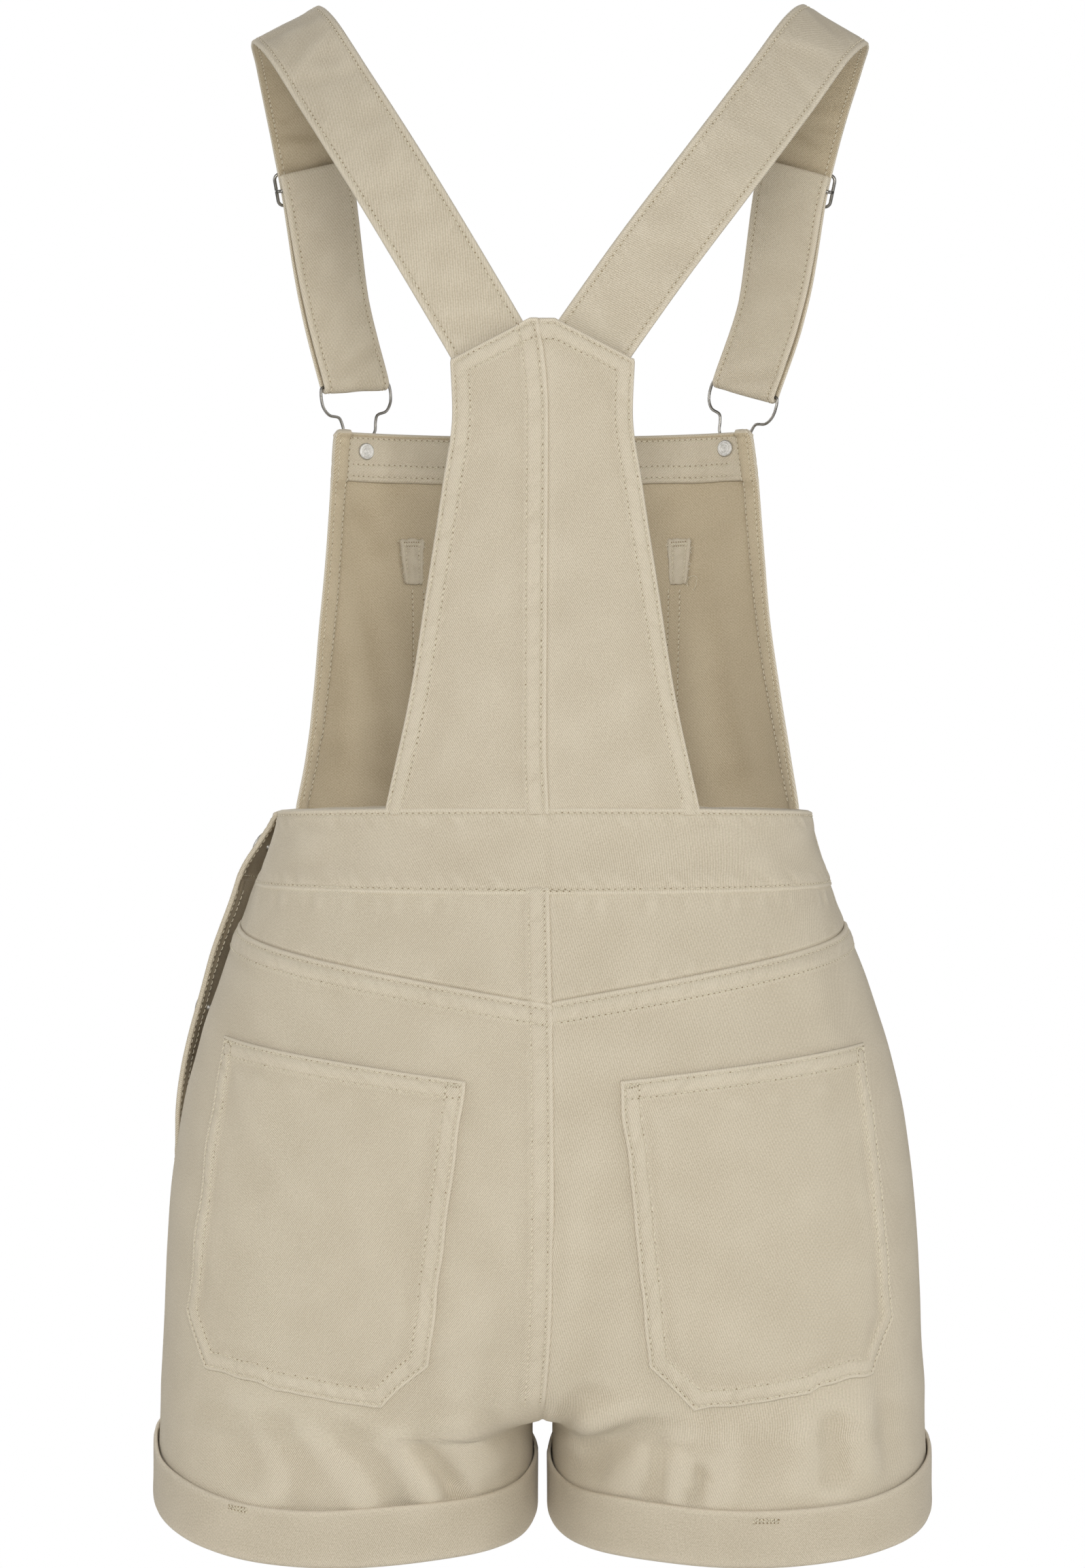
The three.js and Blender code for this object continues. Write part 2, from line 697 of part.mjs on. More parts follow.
// A slider: a wire frame outside the strap, and a bar that dips behind its outer layer
function sliderSolid(hand) {
  const { at, across, out } = strapFrames(hand).find((frame) => frame.station === sliderIndex);
  const along = across.clone().cross(out).normalize();
  const place = (x, y, z) => at.clone().addScaledVector(across, x).addScaledVector(along, y)
    .addScaledVector(out, z);
  const frameOut = loopHalf + strapWall / 2 + layerGap + wire;
  const { width, height, corner } = slider;
  const loop = [];
  for (let quarter = 0; quarter < 4; quarter++) {
    const x = quarter === 0 || quarter === 3 ? 1 : -1;
    const y = quarter < 2 ? 1 : -1;
    for (let k = 0; k <= 2; k++) {
      const angle = Math.PI / 2 * (quarter + k / 2);
      loop.push(place(x * (width / 2 - corner) + corner * Math.cos(angle),
        y * (height / 2 - corner) + corner * Math.sin(angle), frameOut));
    }
  }
  const dip = [[1, frameOut], [1, 1.5], [0.95, 0]];
  const barPath = [...dip, ...dip.map(([x, z]) => [-x, z]).reverse()]
    .map(([x, z]) => place(x * width / 2, 0, z));
  const frame = toManifold(wireAlong(loop, wire, 6, true));
  return fromManifold(frame.add(toManifold(wireAlong(barPath, wire, 6, false))));
}

// The pieces

addPiece("bib_button_left", bibButton(1), paleMetal);
addPiece("bib_button_right", bibButton(-1), paleMetal);

function bibButtonPlace(hand) {
  const end = hand > 0 ? strapEnds.left : strapEnds.right;
  const point = onFront(hand, end.buttonS, end.buttonLevel, 0);
  return { point, outward: onFront(hand, end.buttonS, end.buttonLevel, 1).sub(point).normalize() };
}

function bibButton(hand) {
  const { point, outward } = bibButtonPlace(hand);
  const headFrom = layerGap + 2 * wire + seamGap;
  const backFrom = -(clothWall + layerGap + facingWall + seamGap);
  return buttonSolid(point, outward, buttonHead, headFrom, backFrom);
}

const bibHoles = [1, -1].map((hand) => {
  const { point, outward } = bibButtonPlace(hand);
  return holeSolid(point, outward);
});

// The two buttons of the side opening, through the front edge and the underlap, square to the
// front edge as it stands
function openingPoint(s, level, lift) {
  return onFront(1, s, level, lift + openingLift(level, sideFront(level) - s));
}

const sideButtons = [
  { name: "side_button_waist", level: waistLevel - bandHeight / 2, proud: bandProud, wall: bandInside },
  { name: "side_button_placket", level: placketButtonLevel, proud: 0, wall: clothWall },
].map(({ name, level, proud, wall }) => {
  const s = sideFront(level) - sideButtonInset;
  const point = openingPoint(s, level, proud);
  const toEdge = openingPoint(s + 2, level, proud).sub(openingPoint(s - 2, level, proud));
  const up = openingPoint(s, level + 2, proud).sub(openingPoint(s, level - 2, proud));
  const outward = toEdge.cross(up).normalize();
  const stand = openingLift(level, sideButtonInset) + proud;
  return { name, point, outward, headFrom: 2 * layerGap, backFrom: -(stand + wall + 3 * layerGap) };
});
for (const { name, point, outward, headFrom, backFrom } of sideButtons) {
  addPiece(name, buttonSolid(point, outward, sideHead, headFrom, backFrom), paleMetal);
}
const [waistHole, placketHole] = sideButtons.map(({ point, outward }) => holeSolid(point, outward));

addPiece("bib", cutHoles(clothWallOf({
  across: 24, down: 10, at: bibAt, inner: -clothWall, outer: 0,
}), bibHoles), beigeTwill);
addPiece("bib_facing", cutHoles(clothWallOf({
  across: 24, down: 2, at: facingAt,
  inner: -(clothWall + layerGap + facingWall), outer: -(clothWall + layerGap),
}), bibHoles), beigeTwill);
addPiece("bib_pocket", clothWallOf({
  across: 16, down: 7, at: bibPocketAt, inner: layerGap, outer: layerGap + bibPocket.wall,
}), beigeTwill);

addPiece("back_waistband", cutHoles(clothWallOf({
  across: 34, down: 2, at: backBandAt, inner: -bandInside, outer: bandProud,
}), [waistHole]), beigeTwill);
addPiece("front_waistband", cutHoles(clothWallOf({
  across: 34, down: 2, at: frontBandAt, inner: -bandInside, outer: bandProud,
}), [waistHole]), beigeTwill);

for (const [name, hand] of [["left", 1], ["right", -1]]) {
  const panel = { inner: -clothWall, outer: 0 };
  const leg = { across: 18, down: legRows.length - 1, downAt: legRowAt, ...panel };
  const sideHoles = hand > 0 ? [placketHole] : [];
  addPiece(`back_panel_${name}`, clothWallOf({
    across: 6, down: 12, at: backPanelAt(hand), ...panel,
  }), beigeTwill);
  const backLeg = clothWallOf({ at: backLegAt(hand), ...leg });
  const frontLeg = clothWallOf({ at: frontLegAt(hand), ...leg });
  addPiece(`yoke_${name}`, clothWallOf({ across: 18, down: 2, at: yokeAt(hand), ...panel }), beigeTwill);
  addPiece(`back_leg_${name}`, cutHoles(backLeg, sideHoles), beigeTwill);
  addPiece(`front_leg_${name}`, cutHoles(frontLeg, sideHoles), beigeTwill);
  addPiece(`back_pocket_${name}`, clothWallOf({
    across: 14, down: 9, at: backPocketAt(hand), inner: layerGap, outer: layerGap + pocket.wall,
  }), beigeTwill);
  addPiece(`cuff_${name}`, clothWallOf({
    across: 48, down: 2, at: cuffAt(hand), inner: cuffGap, outer: cuffGap + cuffWall, ring: true,
  }), beigeTwill);
  addPiece(`pocket_patch_${name}`, clothWallOf({
    across: 2, down: 2, at: patchAt(hand),
    inner: -(clothWall + layerGap + pocketPatch.wall), outer: -(clothWall + layerGap),
  }), beigeTwill);
  addPiece(`strap_${name}`, strapSolid(hand), beigeTwill);
  addPiece(`hook_${name}`, wireAlong(hookPath(hand), wire, 6, true), gunmetal);
  addPiece(`slider_${name}`, sliderSolid(hand), gunmetal);
}

export default shortalls;
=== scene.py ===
import json
import math

import bpy
import numpy as np
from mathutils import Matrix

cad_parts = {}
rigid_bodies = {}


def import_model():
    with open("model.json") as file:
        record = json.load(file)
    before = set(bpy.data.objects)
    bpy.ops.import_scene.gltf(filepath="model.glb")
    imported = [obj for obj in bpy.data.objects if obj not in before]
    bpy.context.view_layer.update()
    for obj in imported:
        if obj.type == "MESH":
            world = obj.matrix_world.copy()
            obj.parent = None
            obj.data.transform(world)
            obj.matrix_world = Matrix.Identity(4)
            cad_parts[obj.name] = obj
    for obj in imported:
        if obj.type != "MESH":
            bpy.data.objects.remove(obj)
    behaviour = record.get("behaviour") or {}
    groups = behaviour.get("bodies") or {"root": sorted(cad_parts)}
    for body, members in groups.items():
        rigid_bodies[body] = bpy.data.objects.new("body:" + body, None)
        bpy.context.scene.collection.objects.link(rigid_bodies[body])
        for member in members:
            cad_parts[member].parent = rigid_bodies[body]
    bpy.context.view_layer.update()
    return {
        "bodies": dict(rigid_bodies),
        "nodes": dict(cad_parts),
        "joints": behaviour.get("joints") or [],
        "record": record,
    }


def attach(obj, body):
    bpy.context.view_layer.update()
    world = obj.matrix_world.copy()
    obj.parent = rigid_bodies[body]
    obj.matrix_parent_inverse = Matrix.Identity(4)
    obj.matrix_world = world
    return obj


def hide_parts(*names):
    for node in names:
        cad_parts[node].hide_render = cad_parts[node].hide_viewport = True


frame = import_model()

# Shortalls in their worn form, as a maker would sew them. Lengths are in millimetres, and
# makeMesh turns them into metres. The front faces -Y and the wearer's left is +X.

millimetre = 0.001


# Small helpers

def ease(t):
    k = np.clip(t, 0.0, 1.0)
    return k * k * (3 - 2 * k)


def bell(x):
    return np.exp(-np.square(x))


def mix(a, b, t):
    return a + (b - a) * t


def unit(v):
    return v / np.maximum(np.linalg.norm(v, axis=-1, keepdims=True), 1e-9)


# Reads one column of a table at each level, with no overshoot between its rows
def readTable(table, column, level):
    rows = np.array(sorted(table), float)
    x = rows[:, 0]
    y = rows[:, column]
    slope = np.diff(y) / np.diff(x)
    tangent = np.zeros(len(x))
    tangent[0] = slope[0]
    tangent[-1] = slope[-1]
    turning = slope[:-1] * slope[1:] <= 0
    tangent[1:-1] = np.where(turning, 0, (slope[:-1] + slope[1:]) / 2)
    level = np.clip(level, x[0], x[-1])
    at = np.clip(np.searchsorted(x, level, side="right") - 1, 0, len(x) - 2)
    span = x[at + 1] - x[at]
    t = (level - x[at]) / span
    return ((2 * t**3 - 3 * t**2 + 1) * y[at] + (t**3 - 2 * t**2 + t) * span * tangent[at]
            + (3 * t**2 - 2 * t**3) * y[at + 1] + (t**3 - t**2) * span * tangent[at + 1])


# Uneven bumps along a line, about -1 to 1, with wavelengths round the given one
def unevenLine(x, seed, wavelength):
    rng = np.random.default_rng(seed)
    total = np.zeros(np.shape(x))
    for part in (0.62, 0.83, 1.0, 1.37, 1.9, 2.6):
        swing = rng.uniform(0.5, 1.0)
        total = total + swing * np.sin(2 * math.pi * x / (wavelength * part) + rng.uniform(0, 6.28))
    return total / 2.6


# Gentle unevenness over a face, about -1 to 1
def unevenFace(x, y, seed, wavelength):
    rng = np.random.default_rng(seed)
    total = np.zeros(np.shape(x))
    for _ in range(9):
        turn = rng.uniform(0, math.pi)
        length = wavelength * rng.uniform(0.6, 1.9)
        along = x * math.cos(turn) + y * math.sin(turn)
        total = total + np.sin(2 * math.pi * along / length + rng.uniform(0, 6.28))
    return total / 3.2


# Positions from 0 to length, step apart, and closer together near each of the close places
def spaced(length, step, close=(), fine=0.7, reach=2.2):
    x = np.linspace(0, length, 4000)
    near = np.zeros(len(x))
    for place in close:
        near = np.maximum(near, bell((x - place) / reach))
    density = 1 / step + (1 / fine - 1 / step) * near
    count = np.concatenate([[0], np.cumsum((density[1:] + density[:-1]) / 2 * np.diff(x))])
    number = max(2, int(round(count[-1])))
    return np.interp(np.linspace(0, count[-1], number + 1), count, x)


# The worn body form: level, side, back, front, and how far the two legs have parted
bodyForm = [
    (-150, 152, 104, 111, 0), (-206, 150, 103, 113, 0), (-280, 143, 97, 107, 0),
    (-340, 139, 92, 99, 0), (-406, 138, 90, 93, 0), (-448, 149, 99, 98, 0),
    (-500, 169, 112, 104, 0), (-550, 183, 121, 106, 0), (-605, 191, 124, 106, 0.04),
    (-650, 193.5, 120, 104, 0.18), (-685, 195, 113, 102, 0.48), (-705, 196, 108, 101, 0.76),
    (-718, 196, 105, 100, 1), (-750, 197, 100, 97, 1), (-785, 198, 96, 94, 1),
]
squareness = 2.2
legGap = 5
crotchLevel = -718
waistLevel = -406
bandHeight = 42
hemLevel = -753


def formAt(level):
    outer = readTable(bodyForm, 1, level)
    part = readTable(bodyForm, 4, level)
    inner = mix(-outer, legGap, part)
    middle = (outer + inner) / 2
    half = (outer - inner) / 2
    start = -np.arcsin(np.minimum(np.maximum(middle / half, 0), 1) ** (squareness / 2))
    return {"middle": middle, "half": half, "start": start,
            "back": readTable(bodyForm, 2, level), "front": readTable(bodyForm, 3, level)}


def rimPoint(form, angle, level):
    across = np.sin(angle)
    deep = np.cos(angle)
    x = form["middle"] + form["half"] * np.sign(across) * np.abs(across) ** (2 / squareness)
    depth = np.where(deep >= 0, form["back"], form["front"])
    y = depth * np.sign(deep) * np.abs(deep) ** (2 / squareness)
    return np.stack([x, y, level + np.zeros(np.shape(x))], -1)


# Lengths round the form at each whole level, from the back seam round the side to the front seam
rimLevels = np.arange(-800, -149, 1.0)
rimLengths = np.arange(0, 721, 1.0)
rimForm = formAt(rimLevels)
rimAngles = rimForm["start"][:, None] + (math.pi - 2 * rimForm["start"])[:, None] * np.linspace(0, 1, 241)
rimPoints = rimPoint({key: value[:, None] for key, value in rimForm.items()}, rimAngles, rimLevels[:, None])
rimSteps = np.linalg.norm(np.diff(rimPoints, axis=1), axis=2)
rimRuns = np.concatenate([np.zeros((len(rimLevels), 1)), np.cumsum(rimSteps, axis=1)], axis=1)
rimTable = np.array([np.interp(rimLengths, run, turn) for run, turn in zip(rimRuns, rimAngles)])


def girthAt(level):
    return np.interp(level, rimLevels, rimRuns[:, -1])


def sideBack(level):
    return np.interp(level, rimLevels, rimRuns[:, 120])


def sideFront(level):
    return girthAt(level) - sideBack(level)


def angleAt(level, s):
    row = np.clip(level - rimLevels[0], 0, len(rimLevels) - 1.001)
    column = np.clip(s, 0, len(rimLengths) - 1.001)
    r = row.astype(int)
    c = column.astype(int)
    fr = row - r
    fc = column - c
    upper = rimTable[r, c] * (1 - fc) + rimTable[r, c + 1] * fc
    lower = rimTable[r + 1, c] * (1 - fc) + rimTable[r + 1, c + 1] * fc
    return upper * (1 - fr) + lower * fr


def formPoint(angle, level):
    form = formAt(level)
    point = rimPoint(form, angle, level)
    along = rimPoint(form, angle + 0.02, level) - rimPoint(form, angle - 0.02, level)
    up = rimPoint(formAt(level + 1), angle, level + 1) - rimPoint(formAt(level - 1), angle, level - 1)
    return point, unit(np.cross(up, along))


# A point of the form and its outward direction. side is 1 at the back and -1 at the front, hand is
# 1 on the wearer's left, and s is the length along the cloth from the centre seam.
def onForm(side, hand, s, level):
    s, level = np.broadcast_arrays(np.asarray(s, float), np.asarray(level, float))
    reach = np.abs(s)
    if side < 0:
        reach = girthAt(level) - reach
    point, normal = formPoint(angleAt(level, reach), level)
    flip = hand * np.where(s < 0, -1, 1)
    point[..., 0] *= flip
    normal[..., 0] *= flip
    return point, normal


# Cloth falls nearly straight from the seat to the turn-up and doesn't follow the form under the seat
straightFrom = -655
straightTo = -751


# Depth of the form at places across it, at one level
def depthLine(side, x, level):
    reach = sideBack(level) if side > 0 else sideFront(level)
    run = np.linspace(0.5, reach - 0.5, 160)
    point, _ = onForm(side, 1, run, np.full(160, float(level)))
    order = np.argsort(point[:, 0])
    return np.interp(x, point[order, 0], point[order, 1])


def onFall(side, hand, s, level):
    s, level = np.broadcast_arrays(np.asarray(s, float), np.asarray(level, float))
    point, normal = onForm(side, hand, s, level)
    x = np.abs(point[..., 0])
    y = point[..., 1]
    zone = ease((straightFrom - level) / 26) * ease((level - straightTo) / 16)
    zone = zone * ease((x - 14) / 44) * ease((side * y - 6) / 34)
    high = depthLine(side, x, straightFrom)
    low = depthLine(side, x, straightTo)
    share = np.clip((straightFrom - level) / (straightFrom - straightTo), 0, 1)
    fill = side * (mix(high, low, share) - y)
    point[..., 1] = y + side * zone * np.clip(fill, -3, 14)
    return point, normal


# The normal of the straightened cloth, taken from its own grid of points
def gridNormal(point, normal, level):
    out = unit(np.cross(np.gradient(point, axis=0), np.gradient(point, axis=1)))
    out = out * np.sign((out * normal).sum(-1, keepdims=True))
    share = ease((straightFrom + 2 - level) / 6) * ease((level - straightTo) / 6)
    return unit(mix(normal, out, share[..., None]))


# Main lines, as in the CAD
def bandTop(s):
    return waistLevel - 2.5 * (s / 180) ** 2


def bandLow(s):
    return waistLevel - bandHeight + 2.5 * (s / 180) ** 2


def bandLowFrom(side, s):
    return bandLow(s * side(waistLevel) / side(waistLevel - bandHeight))


def yokeLow(s):
    return -500.6 + 0.175 * s


# The hem is lowest at the back, and dips at the inner leg and at the wearer's right side
def hemAt(hand, x, y):
    level = hemLevel - y * np.where(y > 0, 0.235, 0.12)
    beside = np.clip(1 - (y / 105) ** 2, 0, 1)
    level = level - 11 * ease((78 - np.abs(x)) / 72) * beside
    return level - (5 if hand < 0 else 0) * ease((np.abs(x) - 120) / 75) * beside


# The folded edge of the centre seam wanders: how far it lies beyond the middle at each level
seamPath = [
    (-160, -2.4), (-170, -1.8), (-180, 0), (-215, 2.6), (-300, 2.1), (-376, 1.7), (-410, 3),
    (-448, 3.2), (-500, 4.3), (-589, 5.2), (-639, 4.6), (-668, 3.4), (-690, 1.6), (-704, 0.2),
    (-718, 0), (-800, 0),
]


def seamOffset(level):
    return readTable(seamPath, 1, level)


# Side opening on the wearer's left: how far the front edge stands off
openingStand = [
    (-590, 0), (-580, 0.6), (-562, 3.2), (-548, 4.5), (-529, 5.5), (-500, 6.5), (-480, 8.5),
    (-452, 9.4), (-444, 9.6), (-425, 5.0), (-404, -1.4),
]


def openingLift(level, fromEdge):
    return readTable(openingStand, 1, level) * (1 - ease(fromEdge / 60))


underlap = 28  # how far the back runs on under the front at the side opening
seamUnder = 3  # how far the right halves run on under the left ones' fold


def underlapAt(level):
    return underlap * ease((level + 557) / 22)


# Soft folds, each from one place to another in X and Z as seen from the back: bow is how far its
# middle swings aside, and depth is up for a ridge and down for a trough.
backFolds = {
    "left": [
        # x0, z0, x1, z1, bow, depth, width
        (64, -716, 42, -743, 2, -4.2, 6.5),
        (51, -704, 24, -731, 2, 2.6, 10),
        (78, -708, 55, -744, 3, 2.2, 8),
        (104, -706, 70, -748, 4, -2.0, 9),
        (118, -706, 86, -748, 4, 1.6, 9),
        (140, -700, 115, -742, 5, -1.7, 11),
        (163, -690, 143, -734, 4, -1.2, 12),
        (152, -694, 128, -738, 4, 1.1, 10),
        (16, -660, 30, -706, -3, -1.6, 9),
        (30, -640, 44, -700, -4, 1.2, 12),
        (12, -560, 20, -640, 2, 0.9, 12),
        (150, -505, 168, -560, 4, -0.9, 14),
        (120, -470, 150, -492, 2, 0.7, 12),
    ],
    "right": [
        (-47, -695, -14, -724, -5, 2.6, 7),
        (-30, -690, -9, -708, -4, -2.6, 7),
        (-64, -706, -24, -734, -6, -1.9, 10),
        (-57, -714, -54, -742, 1, -2.6, 6),
        (-66, -722, -66, -744, 0, 2.2, 6.5),
        (-78, -728, -73, -744, 1, -2.8, 5),
        (-92, -706, -84, -742, 2, 1.3, 10),
        (-141, -703, -143, -735, 1, -1.9, 9),
        (-128, -700, -126, -738, 1, 0.9, 10),
        (-156, -690, -160, -730, 1, 1.4, 9),
        (-168, -640, -172, -728, -2, -1.5, 8),
        (-26, -560, -16, -640, -3, 1.3, 11),
        (-34, -610, -22, -690, -4, -1.1, 10),
        (-150, -470, -158, -520, -3, -0.9, 10),
        (-134, -478, -140, -520, -2, 0.7, 9),
    ],
}
# The hidden front gets its own, of the same kinds: out from the crotch and up from the turn-ups
frontFolds = {
    "left": [
        (44, -712, 14, -700, 3, -2.4, 8),
        (70, -722, 20, -690, 5, 2.2, 10),
        (92, -740, 40, -682, 6, -1.9, 11),
        (110, -744, 104, -706, 2, 1.8, 8),
        (128, -744, 118, -700, 3, -1.8, 8),
        (158, -742, 152, -690, 3, -1.3, 11),
        (60, -640, 18, -606, 4, -1.2, 13),
        (80, -600, 24, -566, 4, 0.9, 14),
    ],
    "right": [
        (-40, -716, -12, -698, -3, -2.6, 8),
        (-62, -728, -22, -688, -5, 2.0, 10),
        (-84, -742, -36, -678, -6, -2.1, 10),
        (-104, -746, -98, -704, -2, 1.5, 9),
        (-120, -745, -112, -694, -3, -1.4, 9),
        (-150, -742, -148, -684, -3, 1.2, 11),
        (-52, -646, -16, -612, -4, -1.0, 13),
        (-88, -606, -30, -560, -4, 0.8, 15),
    ],
}


def foldLift(x, z, folds):
    total = np.zeros(np.shape(x))
    for x0, z0, x1, z1, bow, depth, width in folds:
        span = np.array([x1 - x0, z1 - z0], float)
        length = np.linalg.norm(span)
        t = ((x - x0) * span[0] + (z - z0) * span[1]) / length**2
        aside = ((x - x0) * span[1] - (z - z0) * span[0]) / length
        aside = aside - bow * 4 * np.clip(t, 0, 1) * (1 - np.clip(t, 0, 1))
        ends = ease((t + 0.25) / 0.55) * ease((1.3 - t) / 0.45)
        total = total + depth * bell(aside / width) * ends
    return total


# Folds stand out more just above the turn-up, where the hem holds the cloth in
lowFolds = {"from": -696, "trough": 0.9, "ridge": 0.35}


# Lift of the seat and legs over the plain form, for the leg cloth and for the pocket on it
def legFolds(side, hand, point):
    x, y, z = np.moveaxis(point, -1, 0)
    name = "left" if hand > 0 else "right"
    seen = ease((side * y + 5) / 30)
    folds = backFolds if side > 0 else frontFolds
    lift = foldLift(x, z, folds[name]) * seen
    deeper = np.where(lift < 0, lowFolds["trough"], lowFolds["ridge"])
    lift = lift * (1 + deeper * ease((lowFolds["from"] - z) / 10))
    lift = lift + 0.35 * unevenFace(x, z, 41 + side + 4 * hand, 46) * seen
    inner = ease((-690 - z) / 26) * bell((np.abs(x) - 4) / 10)
    return lift * (1 - 0.7 * inner)


# The thickness and thread rows of a folded, stitched edge at a distance from it. Returns the lift
# of the folded layers, and the groove that the thread pulls in.
def sewnEdge(d, along, seed, full=0.8, rows=(1.8, 9.0), swell=0.3, pucker=0.36, groove=0.48, fall=1.9):
    last = rows[-1]
    body = full * (1 - ease((d - last - 0.3) / fall)) * ease((d + 0.35) / 0.9)
    pull = np.zeros(np.shape(d))
    for k, row in enumerate(rows):
        tug = 1 + 0.35 * unevenLine(along, seed + 7 * k, 9)
        pull = pull - groove * tug * bell((d - row) / 0.8)
    if len(rows) > 1:
        middle = np.sin(math.pi * np.clip((d - rows[0]) / (last - rows[0]), 0, 1))
        body = body + middle * (swell + pucker * unevenLine(along + 0.5 * d, seed + 3, 8.5))
    past = bell((d - last - 2.4) / 1.8) * (d > last)
    pull = pull + 0.5 * pucker * past * unevenLine(along, seed + 11, 11)
    return body, pull


# Seam allowances and hems are a little paler, as the extra layers take more of the wash
def sewnWear(d, rows, share=0.12):
    return bell(d / 1.2) + share * (1 - ease((d - rows[-1] - 0.2) / 1.2)) * ease((d + 0.3) / 0.8)


# Meshes

# Where each spot lies in the cloth, for its ribs: to the right and up as seen, turned by the cut
def grainOf(right, up, turn=0):
    c = math.cos(math.radians(turn))
    s = math.sin(math.radians(turn))
    return np.stack([right * c + up * s, up * c - right * s], -1)


def hexColour(text):
    channels = [int(text[k:k + 2], 16) / 255 for k in (1, 3, 5)]
    linear = [c / 12.92 if c <= 0.04045 else ((c + 0.055) / 1.055) ** 2.4 for c in channels]
    return (*linear, 1.0)


def makeMesh(name, points, quads, materials, slots=None, grain=None, wearAndShade=None):
    mesh = bpy.data.meshes.new(name)
    mesh.vertices.add(len(points))
    mesh.vertices.foreach_set("co", (np.asarray(points) * millimetre).astype(np.float32).ravel())
    mesh.loops.add(quads.size)
    mesh.loops.foreach_set("vertex_index", quads.astype(np.int32).ravel())
    mesh.polygons.add(len(quads))
    mesh.polygons.foreach_set("loop_start", np.arange(0, quads.size, 4, dtype=np.int32))
    mesh.polygons.foreach_set("use_smooth", np.ones(len(quads), bool))
    if slots is not None:
        mesh.polygons.foreach_set("material_index", slots.astype(np.int32))
    for material in materials:
        mesh.materials.append(material)
    if grain is not None:
        layer = mesh.uv_layers.new(name="grain")
        layer.data.foreach_set("uv", (grain[quads.ravel()] * 0.01).astype(np.float32).ravel())
    if wearAndShade is not None:
        mesh.attributes.new("wearAndShade", "FLOAT", "POINT").data.foreach_set("value", wearAndShade.astype(np.float32))
    mesh.update(calc_edges=True)
    mesh.validate()
    piece = bpy.data.objects.new(name, mesh)
    bpy.context.scene.collection.objects.link(piece)
    return piece


# Paler ridges are wear; the darkening of hollows is painted shade
fadeAndShadeLook = {"ridges": 3.0, "most": 0.24, "reach": 3.4, "hollowShade": 0.3}


def turnedOut(points, quads, sample, outward):
    a, b, c, d = (points[quads[sample, k]] for k in range(4))
    return quads if np.dot(np.cross(c - a, d - b), outward) > 0 else quads[:, ::-1]


# How far each spot stands above its surroundings: washed cloth is paler on its ridges, where it wears,
# and darker in its hollows, which is painted shade
def ridges(height, cell, ring):
    around = height
    for _ in range(int(np.clip(2 * (fadeAndShadeLook["reach"] / cell) ** 2, 2, 20))):
        sides = np.pad(around, ((0, 0), (1, 1)), mode="wrap" if ring else "edge")
        around = (sides[:, :-2] + 2 * around + sides[:, 2:]) / 4
        ends = np.pad(around, ((1, 1), (0, 0)), mode="edge")
        around = (ends[:-2] + 2 * around + ends[2:]) / 4
    proud = fadeAndShadeLook["most"] * np.tanh((height - around) / fadeAndShadeLook["most"])
    return np.where(proud < 0, fadeAndShadeLook["hollowShade"], 0.7) * proud


